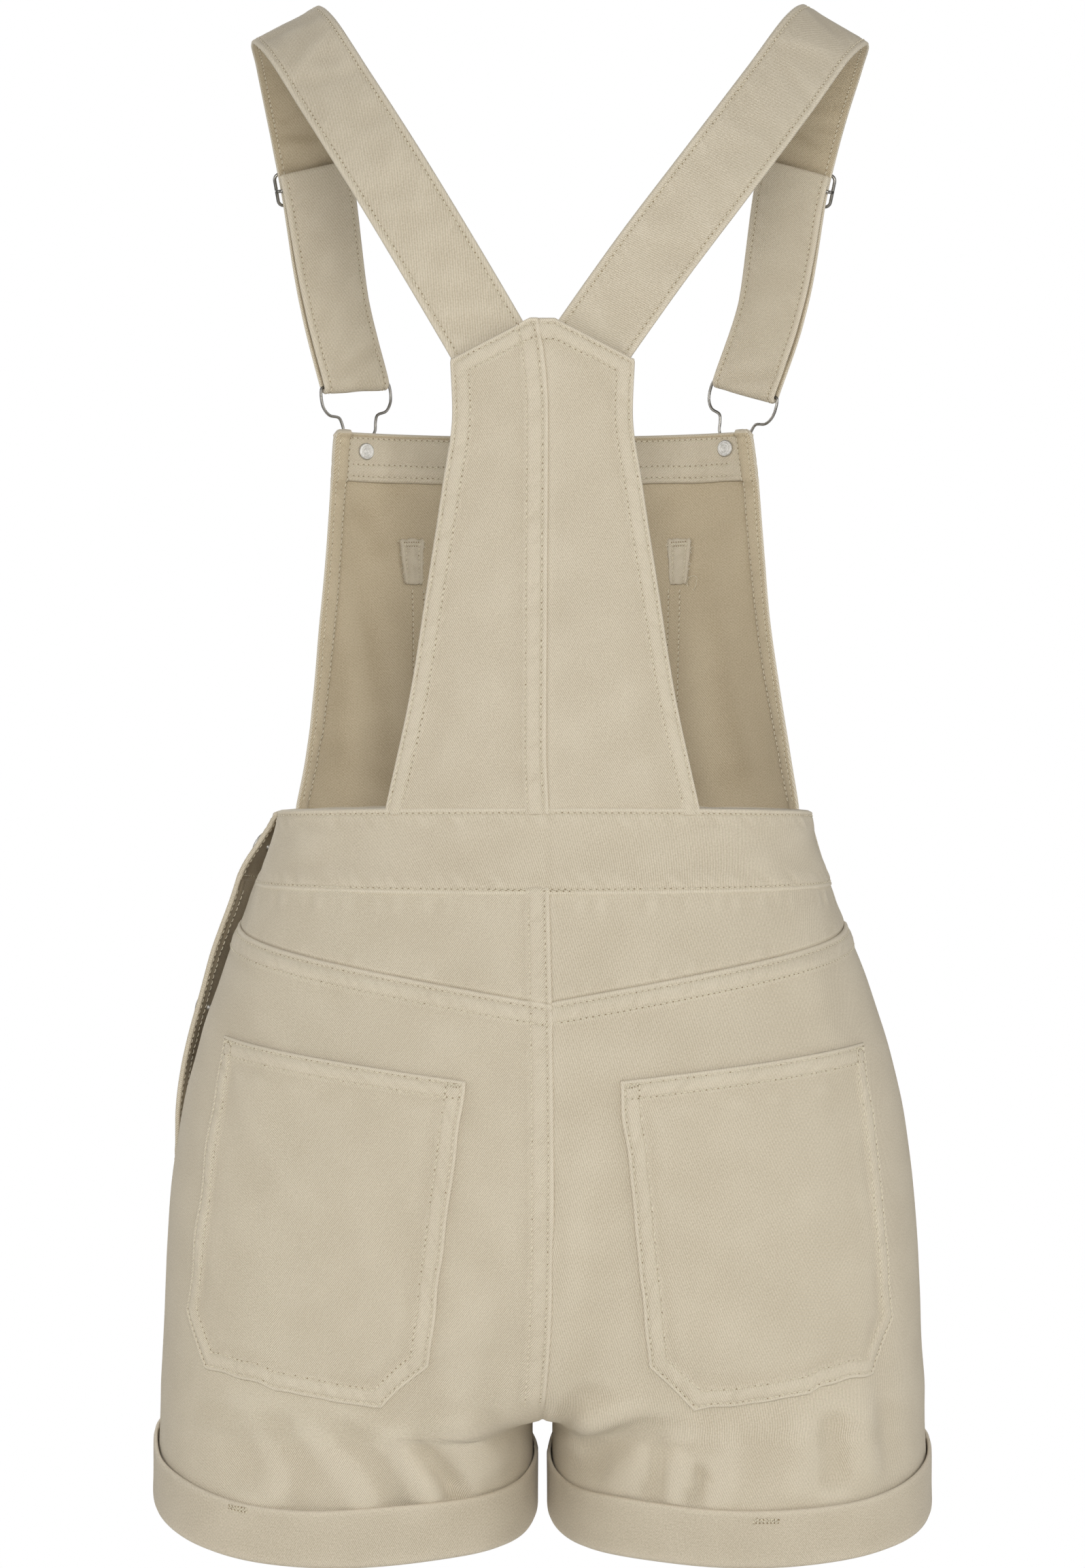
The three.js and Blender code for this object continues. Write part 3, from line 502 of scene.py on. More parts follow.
# A shell of cloth from a grid of points: an outer face, an inner face and rounded rims
def clothShell(name, point, normal, lift, wall, grain, ring=False, wearAndShade=None, inside=1, outside=0,
               backWear=0, cloths=None):
    rows, columns = lift.shape
    wall = wall + np.zeros((rows, columns))
    outer = point + normal * lift[..., None]
    inner = point + normal * (lift - wall)[..., None]
    number = rows * columns
    index = np.arange(number).reshape(rows, columns)
    nextColumn = np.roll(index, -1, axis=1) if ring else index[:, 1:]
    here = index if ring else index[:, :-1]
    face = np.stack([here[:-1], here[1:], nextColumn[1:], nextColumn[:-1]], -1).reshape(-1, 4)
    points = [outer.reshape(-1, 3), inner.reshape(-1, 3)]
    grains = [grain.reshape(-1, 2), grain.reshape(-1, 2)]
    wornAndShaded = np.zeros(number) if wearAndShade is None else wearAndShade.ravel()
    cell = np.median(np.linalg.norm(point[:, 1:] - point[:, :-1], axis=2))
    # Ridges add paler wear and hollows add painted shade, on the outer face and, turned over, on the inner
    # one
    wornAndShaded = wornAndShaded + fadeAndShadeLook["ridges"] * ridges(lift, cell, ring).ravel()
    wearsAndShades = [wornAndShaded, (backWear - fadeAndShadeLook["ridges"] * ridges(lift - wall, cell, ring)).ravel()]
    allPoints = np.concatenate(points)
    middle = len(face) // 2 + columns // 2
    out = normal.reshape(-1, 3)[face[middle, 0]]
    face = turnedOut(allPoints, face, middle, out)
    quads = [face, face[:, ::-1] + number]
    slots = [np.full(len(face), outside), np.full(len(face), inside)]
    if ring:
        rims = [(index[0], index[1]), (index[-1], index[-2])]
    else:
        loop = np.concatenate([index[0], index[1:, -1], index[-1, -2::-1], index[-2:0:-1, 0]])
        near = np.concatenate([index[1], index[1:, -2], index[-2, -2::-1], index[-2:0:-1, 1]])
        rims = [(loop, near)]
    base = 2 * number
    for loop, near in rims:
        tipLift = (allPoints[loop] + allPoints[loop + number]) / 2
        nearMiddle = (allPoints[near] + allPoints[near + number]) / 2
        away = unit(tipLift - nearMiddle)
        thick = np.linalg.norm(allPoints[loop] - allPoints[loop + number], axis=1)
        tip = tipLift + away * (0.42 * thick)[:, None]
        points.append(tip)
        turned = unit(grains[0][loop] - grains[0][near]) * (0.6 * thick)[:, None]
        grains.append(grains[0][loop] + turned)
        wearsAndShades.append(wornAndShaded[loop] + 0.5)
        tipIndex = base + np.arange(len(loop))
        base += len(loop)
        follow = np.roll(np.arange(len(loop)), -1)
        upper = np.stack([loop, loop[follow], tipIndex[follow], tipIndex], -1)
        lower = np.stack([tipIndex, tipIndex[follow], loop[follow] + number, loop + number], -1)
        every = np.concatenate(points)
        middle = len(loop) // 3
        up = every[loop[middle]] - every[loop[middle] + number]
        upper = turnedOut(every, upper, middle, unit(up) + away[middle])
        lower = turnedOut(every, lower, middle, unit(-up) + away[middle])
        quads += [upper, lower]
        slots += [np.full(len(upper), outside), np.full(len(lower), outside)]
    return makeMesh(name, np.concatenate(points), np.concatenate(quads), cloths or [twillFace, twillBackShaded],
                    np.concatenate(slots), np.concatenate(grains), np.concatenate(wearsAndShades))


# Thread: each stitch is a short rounded length that dives into its needle holes, its ends darkened as
# painted shade of the holes
threadLook = {"pitch": 3.1, "length": 2.6, "radius": 0.27, "slant": 0.22, "sides": 4, "holeSize": 0.35}


def threadMesh(name, rows):
    pitch = threadLook["pitch"]
    centres = []
    sides = threadLook["sides"]
    fractions = np.array([-0.5, -0.32, 0.04, 0.36, 0.5])
    heights = np.array([-0.3, 0.16, 0.28, 0.14, -0.3])
    radii = np.array([0.8, 1.0, 1.08, 1.0, 0.8]) * threadLook["radius"]
    # Painted shade: the stitch's ends are darkened where it dives into its holes
    dark = np.array([0.9, 0.1, 0.0, 0.2, 0.9])
    rng = np.random.default_rng(len(name) * 13 + len(rows))
    for path, normal, *step in rows:
        spacing = step[0] if step else pitch
        run = np.concatenate([[0], np.cumsum(np.linalg.norm(np.diff(path, axis=0), axis=1))])
        count = int(run[-1] // spacing)
        if count < 1:
            continue
        start = (run[-1] - count * spacing) / 2
        for k in range(count):
            centre = start + (k + 0.5 + rng.uniform(-0.04, 0.04)) * spacing
            length = threadLook["length"] / pitch * spacing
            centres.append((run, path, normal, centre + fractions * length))
    if not centres:
        return None
    at = np.array([[np.interp(places, run, path[:, k]) for k in range(3)]
                   for run, path, _, places in centres]).transpose(0, 2, 1)
    out = unit(np.array([[np.interp(places, run, normal[:, k]) for k in range(3)]
                         for run, _, normal, places in centres]).transpose(0, 2, 1))
    along = unit(at[:, -1:] - at[:, :1])
    aside = unit(np.cross(along, out))
    slant = (fractions * 2 * threadLook["slant"])[None, :, None]
    at = at + out * heights[None, :, None] + aside * slant
    turn = 2 * math.pi * np.arange(sides) / sides
    ring = (out[:, :, None] * np.cos(turn)[None, None, :, None]
            + aside[:, :, None] * np.sin(turn)[None, None, :, None])
    points = at[:, :, None] + ring * radii[None, :, None, None]
    number = len(centres)
    rings = len(fractions)
    index = np.arange(number * rings * sides).reshape(number, rings, sides)
    after = np.roll(index, -1, axis=2)
    quads = np.stack([index[:, :-1], after[:, :-1], after[:, 1:], index[:, 1:]], -1).reshape(-1, 4)
    points = points.reshape(-1, 3)
    quads = turnedOut(points, quads, 0, points[quads[0]].mean(0) - at[0].mean(0))
    shade = np.broadcast_to(dark[None, :, None], (number, rings, sides)).ravel()
    # A disc of painted shade at the end of each stitch, standing for the shade in its needle hole
    size = threadLook["holeSize"]
    centre = at[:, -1:] + out[:, -1:] * 0.4 + along * 0.2
    around = math.pi / 3 * np.arange(6)
    ring = along * np.cos(around)[None, :, None] * 1.15 + aside[:, -1:] * np.sin(around)[None, :, None]
    holeShadeDiscs = (centre + ring * size).reshape(-1, 3)
    first = len(points) + 6 * np.arange(number)[:, None]
    faces = np.concatenate([first + np.array([[0, 1, 2, 3]]), first + np.array([[3, 4, 5, 0]])])
    faces = turnedOut(np.concatenate([points, holeShadeDiscs]), faces, 0, out[0, -1])
    # The thread's attribute here carries only painted shade: dark stitch ends and the hole discs
    return makeMesh(name, np.concatenate([points, holeShadeDiscs]), np.concatenate([quads, faces]), [sewingThread],
                    wearAndShade=np.concatenate([shade, np.ones(len(holeShadeDiscs))]))


# A round wire along a smooth path, with rounded ends or closed on itself
def wirePoints(path, radius, closed, sides=12):
    path = np.asarray(path, float)
    count = len(path)
    ahead = np.roll(path, -1, axis=0)
    behind = np.roll(path, 1, axis=0)
    if not closed:
        ahead[-1] = path[-1]
        behind[0] = path[0]
    along = unit(ahead - behind)
    bend = np.zeros_like(path)
    lean = np.array([0.31, 0.87, 0.17])
    for k in range(count):
        lean = lean - along[k] * np.dot(lean, along[k])
        lean = lean / np.linalg.norm(lean)
        bend[k] = lean
    third = np.cross(along, bend)
    twist = np.zeros(count)
    if closed:
        first = bend[0] - along[-1] * np.dot(bend[0], along[-1])
        off = math.atan2(np.dot(first, third[-1]), np.dot(first, bend[-1]))
        twist = np.arange(count) / count * off
    turn = 2 * math.pi * np.arange(sides) / sides + twist[:, None]
    radii = np.full(count, float(radius))
    ring = bend[:, None] * np.cos(turn)[..., None] + third[:, None] * np.sin(turn)[..., None]
    points = path[:, None] + ring * radii[:, None, None]
    index = np.arange(count * sides).reshape(count, sides)
    here = index if closed else index[:-1]
    following = np.roll(index, -1, axis=0) if closed else index[1:]
    quads = np.stack([here, np.roll(here, -1, axis=1), np.roll(following, -1, axis=1), following], -1)
    points = points.reshape(-1, 3)
    quads = quads.reshape(-1, 4)
    if not closed:
        caps = []
        for end, sign in ((0, -1), (count - 1, 1)):
            cap = path[end] + along[end] * sign * radius * 0.7
            tip = len(points)
            small = path[end] + along[end] * sign * radius * 0.5 + ring[end] * radius * 0.7
            points = np.concatenate([points, small, cap[None]])
            smallIndex = tip + np.arange(sides)
            collar = np.stack([index[end], np.roll(index[end], -1), np.roll(smallIndex, -1), smallIndex], -1)
            caps.append(collar[:, ::sign])
            tipIndex = tip + sides
            pairs = smallIndex.reshape(-1, 2)
            later = np.roll(smallIndex, -2).reshape(-1, 2)[:, 0]
            caps.append(np.stack([pairs[:, 0], pairs[:, 1], later, np.full(len(pairs), tipIndex)], -1)
                        [:, ::sign])
        quads = np.concatenate([quads, *caps])
    return points, turnedOut(points, quads, 0, points[quads[0]].mean(0) - path[0])


def joinedMesh(name, parts, material):
    points = []
    quads = []
    base = 0
    for part, faces in parts:
        points.append(part)
        quads.append(faces + base)
        base += len(part)
    return makeMesh(name, np.concatenate(points), np.concatenate(quads), [material])


# Materials

def addNode(tree, kind, inputs=(), **settings):
    node = tree.nodes.new(kind)
    for key, value in settings.items():
        setattr(node, key, value)
    for key, value in dict(inputs).items():
        if isinstance(value, bpy.types.NodeSocket):
            tree.links.new(value, node.inputs[key])
        else:
            node.inputs[key].default_value = value
    return node


def newMaterial(name, **surface):
    material = bpy.data.materials.new(name)
    material.use_nodes = True
    tree = material.node_tree
    tree.nodes.clear()
    shader = addNode(tree, "ShaderNodeBsdfPrincipled", surface)
    output = addNode(tree, "ShaderNodeOutputMaterial")
    tree.links.new(shader.outputs["BSDF"], output.inputs["Surface"])
    return material, tree, shader


# Cotton twill, piece dyed and washed: matt, with fine raised ribs on the slant. Its ribs are about
# 0.8 mm apart, which just shows at the photo's 3 pixels a millimetre.
twillLook = {
    # back and backLow are darker and warmer than the face: partly the wrong side's own tone, partly painted
    # shade for the inside of the bib. crease is painted shade for hollows.
    "face": "#DBD1BD", "faceLow": "#AEA189", "back": "#CFC1A6", "backLow": "#9C8C70",
    "turnUp": "#D3C8B4", "turnUpLow": "#A79B84", "creaseShade": "#8B7C60",
    "ribPitch": 0.8, "ribAngle": 57, "backAngle": 123, "heatherSize": 0.9,
    "cloudSize": 34,
}


def cottonTwill(name, light, low, ribAngle, contrast, ribShare):
    material, tree, shader = newMaterial(name, **{
        "Roughness": 0.9, "IOR": 1.5, "Specular IOR Level": 0.25, "Sheen Weight": 0.1,
        "Sheen Roughness": 0.5,
    })
    grain = addNode(tree, "ShaderNodeUVMap", uv_map="grain")  # 1 is 100 mm of cloth
    turned = addNode(tree, "ShaderNodeMapping", {
        "Vector": grain.outputs["UV"], "Rotation": (0, 0, math.radians(90 - ribAngle))})
    ribScale = 100 * 0.31416 / twillLook["ribPitch"]
    ribs = addNode(tree, "ShaderNodeTexWave", {
        "Vector": turned.outputs["Vector"], "Scale": ribScale, "Distortion": 1.2, "Detail": 2.0,
        "Detail Scale": 0.35, "Detail Roughness": 0.6}, wave_type="BANDS", bands_direction="X")
    heather = addNode(tree, "ShaderNodeTexNoise", {
        "Vector": grain.outputs["UV"], "Scale": 100 / twillLook["heatherSize"], "Detail": 2.0,
        "Roughness": 0.6})
    cloud = addNode(tree, "ShaderNodeTexNoise", {
        "Vector": grain.outputs["UV"], "Scale": 100 / twillLook["cloudSize"], "Detail": 3.0,
        "Roughness": 0.55})
    weave = addNode(tree, "ShaderNodeMix", {
        0: ribShare, 2: heather.outputs["Fac"], 3: ribs.outputs["Fac"]}, data_type="FLOAT")
    shade = addNode(tree, "ShaderNodeMapRange", {
        "Value": weave.outputs[0], "From Min": 0.25, "From Max": 0.75,
        "To Min": 1 - contrast, "To Max": 1.0})
    cloudShade = addNode(tree, "ShaderNodeMapRange", {
        "Value": cloud.outputs["Fac"], "From Min": 0.3, "From Max": 0.7, "To Min": -0.07,
        "To Max": 0.07})
    # The attribute carries wear and painted shade: positive is paler wear, negative is painted shade in
    # hollows
    wornAndShaded = addNode(tree, "ShaderNodeAttribute", attribute_name="wearAndShade")
    wearAndShadeTone = addNode(tree, "ShaderNodeMath", {0: wornAndShaded.outputs["Fac"], 1: 0.3},
                        operation="MULTIPLY")
    woven = addNode(tree, "ShaderNodeMath", {
        0: shade.outputs["Result"], 1: cloudShade.outputs["Result"]}, operation="ADD")
    total = addNode(tree, "ShaderNodeMath", {0: woven.outputs[0], 1: wearAndShadeTone.outputs[0]},
                    operation="ADD", use_clamp=True)
    colour = addNode(tree, "ShaderNodeMix", {
        0: total.outputs[0], 6: hexColour(low), 7: hexColour(light)}, data_type="RGBA")
    # Painted shade: deep hollows mix towards the dark crease colour
    hollowShade = addNode(tree, "ShaderNodeMapRange", {
        "Value": wornAndShaded.outputs["Fac"], "From Min": -0.35, "From Max": -1.6, "To Min": 0.0, "To Max": 0.75})
    creaseShaded = addNode(tree, "ShaderNodeMix", {
        0: hollowShade.outputs["Result"], 6: colour.outputs[2], 7: hexColour(twillLook["creaseShade"])},
        data_type="RGBA")
    tree.links.new(creaseShaded.outputs[2], shader.inputs["Base Color"])
    bump = addNode(tree, "ShaderNodeBump", {
        "Height": weave.outputs[0], "Strength": 0.55, "Distance": 0.0003})
    tree.links.new(bump.outputs["Normal"], shader.inputs["Normal"])
    return material


twillFace = cottonTwill("cotton twill, face", twillLook["face"], twillLook["faceLow"],
                        twillLook["ribAngle"], 1.0, 0.46)
# The wrong side: its own rib angle, and colours partly its own tone and partly painted shade for the inside
# of the bib
twillBackShaded = cottonTwill("cotton twill, wrong side with painted shade", twillLook["back"], twillLook["backLow"],
                        twillLook["backAngle"], 0.9, 0.4)
twillTurnUp = cottonTwill("cotton twill, washed turn-up", twillLook["turnUp"], twillLook["turnUpLow"],
                          twillLook["backAngle"], 0.9, 0.3)

# Spun polyester-cotton sewing thread, dyed to match: a touch paler than the cloth with a slight
# gloss, and painted shade where it goes down into its needle holes
threadLook.update({"colour": "#DDD4BD", "hole": "#857353"})


def spunThread():
    material, tree, shader = newMaterial("spun sewing thread", **{
        "Roughness": 0.6, "IOR": 1.5, "Specular IOR Level": 0.4, "Sheen Weight": 0.1})
    depth = addNode(tree, "ShaderNodeAttribute", attribute_name="wearAndShade")
    # Painted shade: the attribute mixes the thread towards the dark hole colour
    colour = addNode(tree, "ShaderNodeMix", {
        0: depth.outputs["Fac"], 6: hexColour(threadLook["colour"]),
        7: hexColour(threadLook["hole"])}, data_type="RGBA")
    tree.links.new(colour.outputs[2], shader.inputs["Base Color"])
    return material


sewingThread = spunThread()

# Steel wire with a dark nickel plate, drawn and tumbled: a dark satin gloss with fine scuffs
wireLook = {"colour": "#9D9A94", "dark": "#75726C", "roughness": 0.28}
# Stamped brass with a pale nickel plate: bright, with turned rings and slightly dulled hollows
tackLook = {"colour": "#E2E0DB", "dark": "#BDBAB3", "roughness": 0.42}


def platedMetal(name, look, scuffSize):
    material, tree, shader = newMaterial(name, Metallic=1.0)
    place = addNode(tree, "ShaderNodeTexCoord")
    scuffs = addNode(tree, "ShaderNodeTexNoise", {
        "Vector": place.outputs["Object"], "Scale": 1000 / scuffSize, "Detail": 4.0,
        "Roughness": 0.65})
    dull = addNode(tree, "ShaderNodeMapRange", {
        "Value": scuffs.outputs["Fac"], "From Min": 0.35, "From Max": 0.7, "To Min": 0.0,
        "To Max": 1.0})
    colour = addNode(tree, "ShaderNodeMix", {
        0: dull.outputs["Result"], 6: hexColour(look["colour"]), 7: hexColour(look["dark"])},
        data_type="RGBA")
    rough = addNode(tree, "ShaderNodeMapRange", {
        "Value": scuffs.outputs["Fac"], "From Min": 0.3, "From Max": 0.75,
        "To Min": look["roughness"], "To Max": look["roughness"] + 0.2})
    tree.links.new(colour.outputs[2], shader.inputs["Base Color"])
    tree.links.new(rough.outputs["Result"], shader.inputs["Roughness"])
    return material


gunmetalWire = platedMetal("dark nickel-plated steel wire", wireLook, 7)
paleTack = platedMetal("pale nickel-plated stamped brass", tackLook, 1.2)
print("materials made")


# Pieces

def finishCloth(piece, nodes, threads=()):
    extras = [thread for thread in threads if thread]
    for each in (piece, *extras):
        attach(each, "root")
    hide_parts(*nodes)
    print(piece.name, "made")


# A row of stitches along given places of a piece, on its outer or its inner face
def rowOn(place, lift, wall, a, b, inside=False, step=None):
    a, b = np.broadcast_arrays(np.asarray(a, float), np.asarray(b, float))
    point, normal = place(a, b)
    height = lift(a, b)
    if inside:
        thick = wall(a, b) if callable(wall) else wall
        row = (point + normal * (height - thick)[..., None], -normal)
    else:
        row = (point + normal * height[..., None], normal)
    return (*row, step) if step else row


# Positions across a piece whose width changes: its two edges keep their spacing, and the middle
# stretches
def stretched(x, length, low, high, start, end):
    middle = mix(start + low, end - high, (x - low) / (length - low - high))
    return np.where(x < low, start + x, np.where(x > length - high, end - (length - x), middle))


# Back panel: two halves with a felled centre seam, the wearer's left half folded over the right
panelLook = {
    "cell": 1.35, "turn": 5, "edgeRows": (1.9, 8.6), "seamRows": (2.6, 10.2), "hem": 0.75, "fell": 0.95,
    "wall": 1.3, "grid": (60, 240), "tuck": 2.6,
    "cut": (0.1, 0.275), "area": 0.0172, "held": "hung", "restsOn": ["strapLeft", "strapRight"],
}
backPanelForm = [(-406, 79), (-350, 66), (-300, 57.5), (-248, 49), (-212, 44), (-187, 45)]
panelPeak = -167.3
peakHalf = 6
panelCorner = (45, -187)
panelSlope = 0.89  # a row along the slanted top is this far from it for each millimetre of drop


def panelTop(s):
    fall = np.clip((np.abs(s) - peakHalf) / (panelCorner[0] - peakHalf), 0, 1)
    return mix(panelPeak, panelCorner[1], fall)


def panelEdges(s, level):
    toSide = readTable(backPanelForm, 1, level) - s
    slope = np.where(np.abs(s) > peakHalf, panelSlope, 1.0)
    toTop = (panelTop(s) - level) * slope
    return toSide, toTop


def makeBackPanel(hand):
    name = "Left" if hand > 0 else "Right"
    rows = panelLook["edgeRows"]
    wall = panelLook["wall"]
    wide, high = panelLook["grid"]
    seamRows = panelLook["seamRows"]

    def place(s, level):
        return onForm(1, hand, s, level)

    def lift(s, level):
        toSide, toTop = panelEdges(s, level)
        edge = np.minimum(toSide, toTop)
        body, pull = sewnEdge(edge, level + s, 3 + hand, panelLook["hem"], rows)
        fromSeam = s + seamOffset(level) * hand
        if hand > 0:
            fell, tug = sewnEdge(fromSeam, level, 21, panelLook["fell"], seamRows)
            body = np.maximum(body, fell)
            pull = pull + tug * ease(toTop / 3)
        else:
            body = body - 1.0 * (1 - ease((fromSeam + 0.5) / 1.2))
        soft = 0.3 * unevenFace(s * hand, level, 5, 55) * ease((edge - 8) / 12)
        soft = soft - 0.5 * bell((toSide - 16) / 7) * bell((level + 372) / 26)
        return body + pull + soft

    across = spaced(wide, panelLook["cell"], (*seamRows, 0, wide - rows[0], wide - rows[1], wide))
    down = spaced(high, 1.9, (0, rows[0] / panelSlope, rows[1] / panelSlope), 0.75)
    x, y = np.meshgrid(across, down)
    tuck = panelLook["tuck"]
    u = x / wide
    foot = bandTop(u * backPanelForm[0][1]) - tuck
    level = stretched(y, high, 14, 2, -panelTop(u * panelCorner[0]), -foot) * -1
    for _ in range(2):
        start = -seamOffset(level) if hand > 0 else seamOffset(level) - seamUnder
        s = stretched(x, wide, 13, 12, start, readTable(backPanelForm, 1, level))
        level = -stretched(y, high, 14, 2, -panelTop(s), -(bandTop(s) - tuck))
    point, normal = place(s, level)
    height = lift(s, level)
    toSide, toTop = panelEdges(s, level)
    wearAndShade = sewnWear(np.minimum(toSide, toTop), rows)
    if hand > 0:
        wearAndShade = np.maximum(wearAndShade, sewnWear(s + seamOffset(level), seamRows))
    grain = grainOf(-s * hand, level, panelLook["turn"])
    piece = clothShell(f"backPanel{name}", point, normal, height, wall, grain, wearAndShade=wearAndShade)
    levels = np.linspace(-404.5, -194, 160)
    threads = []
    for inside in (False, True):
        for d in rows:
            side = readTable(backPanelForm, 1, levels) - d
            keep = levels < panelCorner[1] - 0.6 * d
            threads.append(rowOn(place, lift, wall, side[keep], levels[keep], inside))
            top = np.linspace(-seamOffset(-172.0) * hand, panelCorner[0] - d, 60)
            threads.append(rowOn(place, lift, wall, top, panelTop(top) - d / panelSlope, inside))
    if hand > 0:
        levels = np.linspace(-404.5, panelPeak - 2.4, 200)
        for d in seamRows:
            threads.append(rowOn(place, lift, wall, d - seamOffset(levels), levels))
    finishCloth(piece, [f"back_panel_{name.lower()}"],
                [threadMesh(f"threadBackPanel{name}", threads)])


for hand in (1, -1):
    makeBackPanel(hand)


# Waistband, back and front: folded bands with one row near each edge
bandLook = {
    "cell": 1.7, "turn": 20, "rows": 2.3, "endRow": 2.4, "proud": 0.75, "wall": 2.5,
    "underlap": 27,
    "cut": (0.42, 0.05), "area": 0.0195, "held": "stretched",
    "restsOn": ["backLegLeft", "backLegRight"],
}


def makeBand(side):
    reach = sideBack(waistLevel) if side > 0 else sideFront(waistLevel)
    lengthOf = sideBack if side > 0 else sideFront
    left = reach + bandLook["underlap"] if side > 0 else reach - 0.15
    right = -(reach - 0.15)
    total = left - right

    def levelAt(s, t):
        top = bandTop(s)
        return top + (bandLow(s) - top) * t / bandHeight

    endRow = bandLook["endRow"]

    def place(s, t):
        level = levelAt(s, t)
        return onForm(side, 1, s * lengthOf(level) / lengthOf(waistLevel), level)

    def lift(s, t):
        height = bandLook["proud"] * np.ones(np.shape(s))
        toEdge = np.minimum(t, bandHeight - t)
        tug = 1 + 0.3 * unevenLine(s, 31 + side, 8)
        height = height - 0.5 * tug * bell((toEdge - bandLook["rows"]) / 0.9)
        height = height - 0.5 * (1 - ease((toEdge + 0.4) / 1.3))
        height = height + 0.3 * bell((toEdge - 6) / 3.5) * unevenLine(s + 0.7 * t, 33 + side, 10)
        height = height + 0.45 * unevenFace(s, t, 35 + side, 40) * ease((toEdge - 5) / 10)
        if side > 0:
            height = height - (9.2 - 7.8 * t / bandHeight) * ease((s - reach + underlap) / 30)
            height = height - 1.0 * bell((s + 3.1) / 1.0) * 0.3
        else:
            height = height + openingLift(levelAt(s, t), reach - s)
        toEnd = np.minimum(left - s, s - right)
        if side > 0:
            toEnd = left - s
            height = height - 0.35 * (1 - ease((s - right) / 1.0))
        height = height - 0.4 * bell((toEnd - endRow) / 0.9) - 0.4 * (1 - ease(toEnd / 1.2))
        return height

    rows = (bandLook["rows"], bandHeight - bandLook["rows"])
    across = spaced(total, bandLook["cell"], (0, total - endRow, total), 0.8)
    down = spaced(bandHeight, bandLook["cell"], (0, *rows, bandHeight), 0.7)
    x, t = np.meshgrid(across, down)
    s = x + right
    point, normal = place(s, t)
    height = lift(s, t)
    wearAndShade = bell(np.minimum(t, bandHeight - t) / 1.3)
    grain = grainOf(-s * side, -t, bandLook["turn"])
    name = "back" if side > 0 else "front"
    piece = clothShell(f"{name}Waistband", point, normal, height, bandLook["wall"], grain, wearAndShade=wearAndShade)
    run = np.linspace(right + 1.5, left - endRow, 500)
    threads = [rowOn(place, lift, bandLook["wall"], run, row, inside)
               for row in rows for inside in (False, True)]
    end = np.linspace(rows[0], rows[1], 30)
    for inside in (False, True):
        threads.append(rowOn(place, lift, bandLook["wall"], left - endRow, end, inside))
    if side > 0:
        again = np.linspace(-15, 25, 60)
        threads.append(rowOn(place, lift, bandLook["wall"], again, rows[1] + 0.9 - 0.02 * again))
    finishCloth(piece, [f"{name}_waistband"],
                [threadMesh(f"threadBand{name.title()}", threads)])


makeBand(1)
makeBand(-1)


# Yoke: two halves under the band, their lower edges caught in the V seam
yokeLook = {
    "cell": 2.1, "turn": {1: -4, -1: 21}, "seamRows": (2.6, 10.2), "fell": 0.95,
    "wall": 1.3, "grid": (240, 70),
    "cut": (0.26, 0.075), "area": 0.0115, "held": "stretched", "restsOn": ["backWaistband"],
}


def seatSink(level, fromSide):
    return -3.4 * bell((level + 515) / 30) * ease((fromSide + 26) / 30) * (level < -440)


def makeYoke(hand):
    name = "Left" if hand > 0 else "Right"
    seamRows = yokeLook["seamRows"]
    wall = yokeLook["wall"]
    wide, high = yokeLook["grid"]

    def place(s, level):
        return onForm(1, hand, s, level)

    def lift(s, level):
        fromSeam = s + seamOffset(level) * hand
        height = np.zeros(np.shape(s))
        if hand > 0:
            fell, tug = sewnEdge(fromSeam, level, 51, yokeLook["fell"], seamRows)
            height = height + fell + tug
            height = height + seatSink(level, s - sideBack(level))
        else:
            height = height - 1.0 * (1 - ease((fromSeam + 0.5) / 1.2))
        toSeam = level - yokeLow(s)
        height = height - 0.9 * (1 - ease((toSeam - 0.2) / 1.6))
        height = height + 0.35 * bell((toSeam - 4) / 3) * unevenLine(s, 52 + hand, 12) * 0.6
        height = height + 0.3 * unevenFace(s * hand, level, 53, 48)
        fromBand = bandLowFrom(sideBack, s) - level
        height = height + 0.4 * bell((fromBand - 5) / 4) * unevenLine(s, 57 + hand, 14)
        return height

    across = spaced(wide, yokeLook["cell"], (0, *seamRows) if hand > 0 else (seamUnder, 0), 0.8)
    down = spaced(high, 1.9, (high - 1.5, high - 4), 0.8)
    x, y = np.meshgrid(across, down)
    level = -450 - 40 * y / high
    for _ in range(4):
        end = sideBack(level) - 0.15 + (underlapAt(level) if hand > 0 else 0)
        start = -seamOffset(level) if hand > 0 else seamOffset(level) - seamUnder
        s = stretched(x, wide, 13, 2, start, end)
        level = mix(bandLowFrom(sideBack, s) + 3, yokeLow(s) - 1.2, y / high)
    point, normal = place(s, level)
    grain = grainOf(-s * hand, level, yokeLook["turn"][hand])
    wearAndShade = sewnWear(s + seamOffset(level), seamRows) * (hand > 0)
    piece = clothShell(f"yoke{name}", point, normal, lift(s, level), wall, grain, wearAndShade=wearAndShade)
    threads = []
    if hand > 0:
        levels = np.linspace(-500, -449.5, 60)
        for d in seamRows:
            threads.append(rowOn(place, lift, wall, d - seamOffset(levels), levels))
    finishCloth(piece, [f"yoke_{name.lower()}"],
                [threadMesh(f"threadYoke{name}", threads)] if threads else ())


for hand in (1, -1):
    makeYoke(hand)


# Legs. The back ones fold over the yoke at the V seam, and the left ones fold over the right at
# the centre seams.
legLook = {
    "cell": 2.85, "turn": {1: -5, -1: 20}, "seamRows": (2.6, 10.2), "fell": 0.95,
    "steady": 256, "inner": 0.4, "wall": 1.3, "grid": (320, 300), "seamZone": 14,
    "placketRows": (2.2, 11),
    "cut": (0.36, 0.33), "area": 0.088, "held": "hung",
    "restsOn": ["yokeLeft", "yokeRight", "backWaistband"],
}


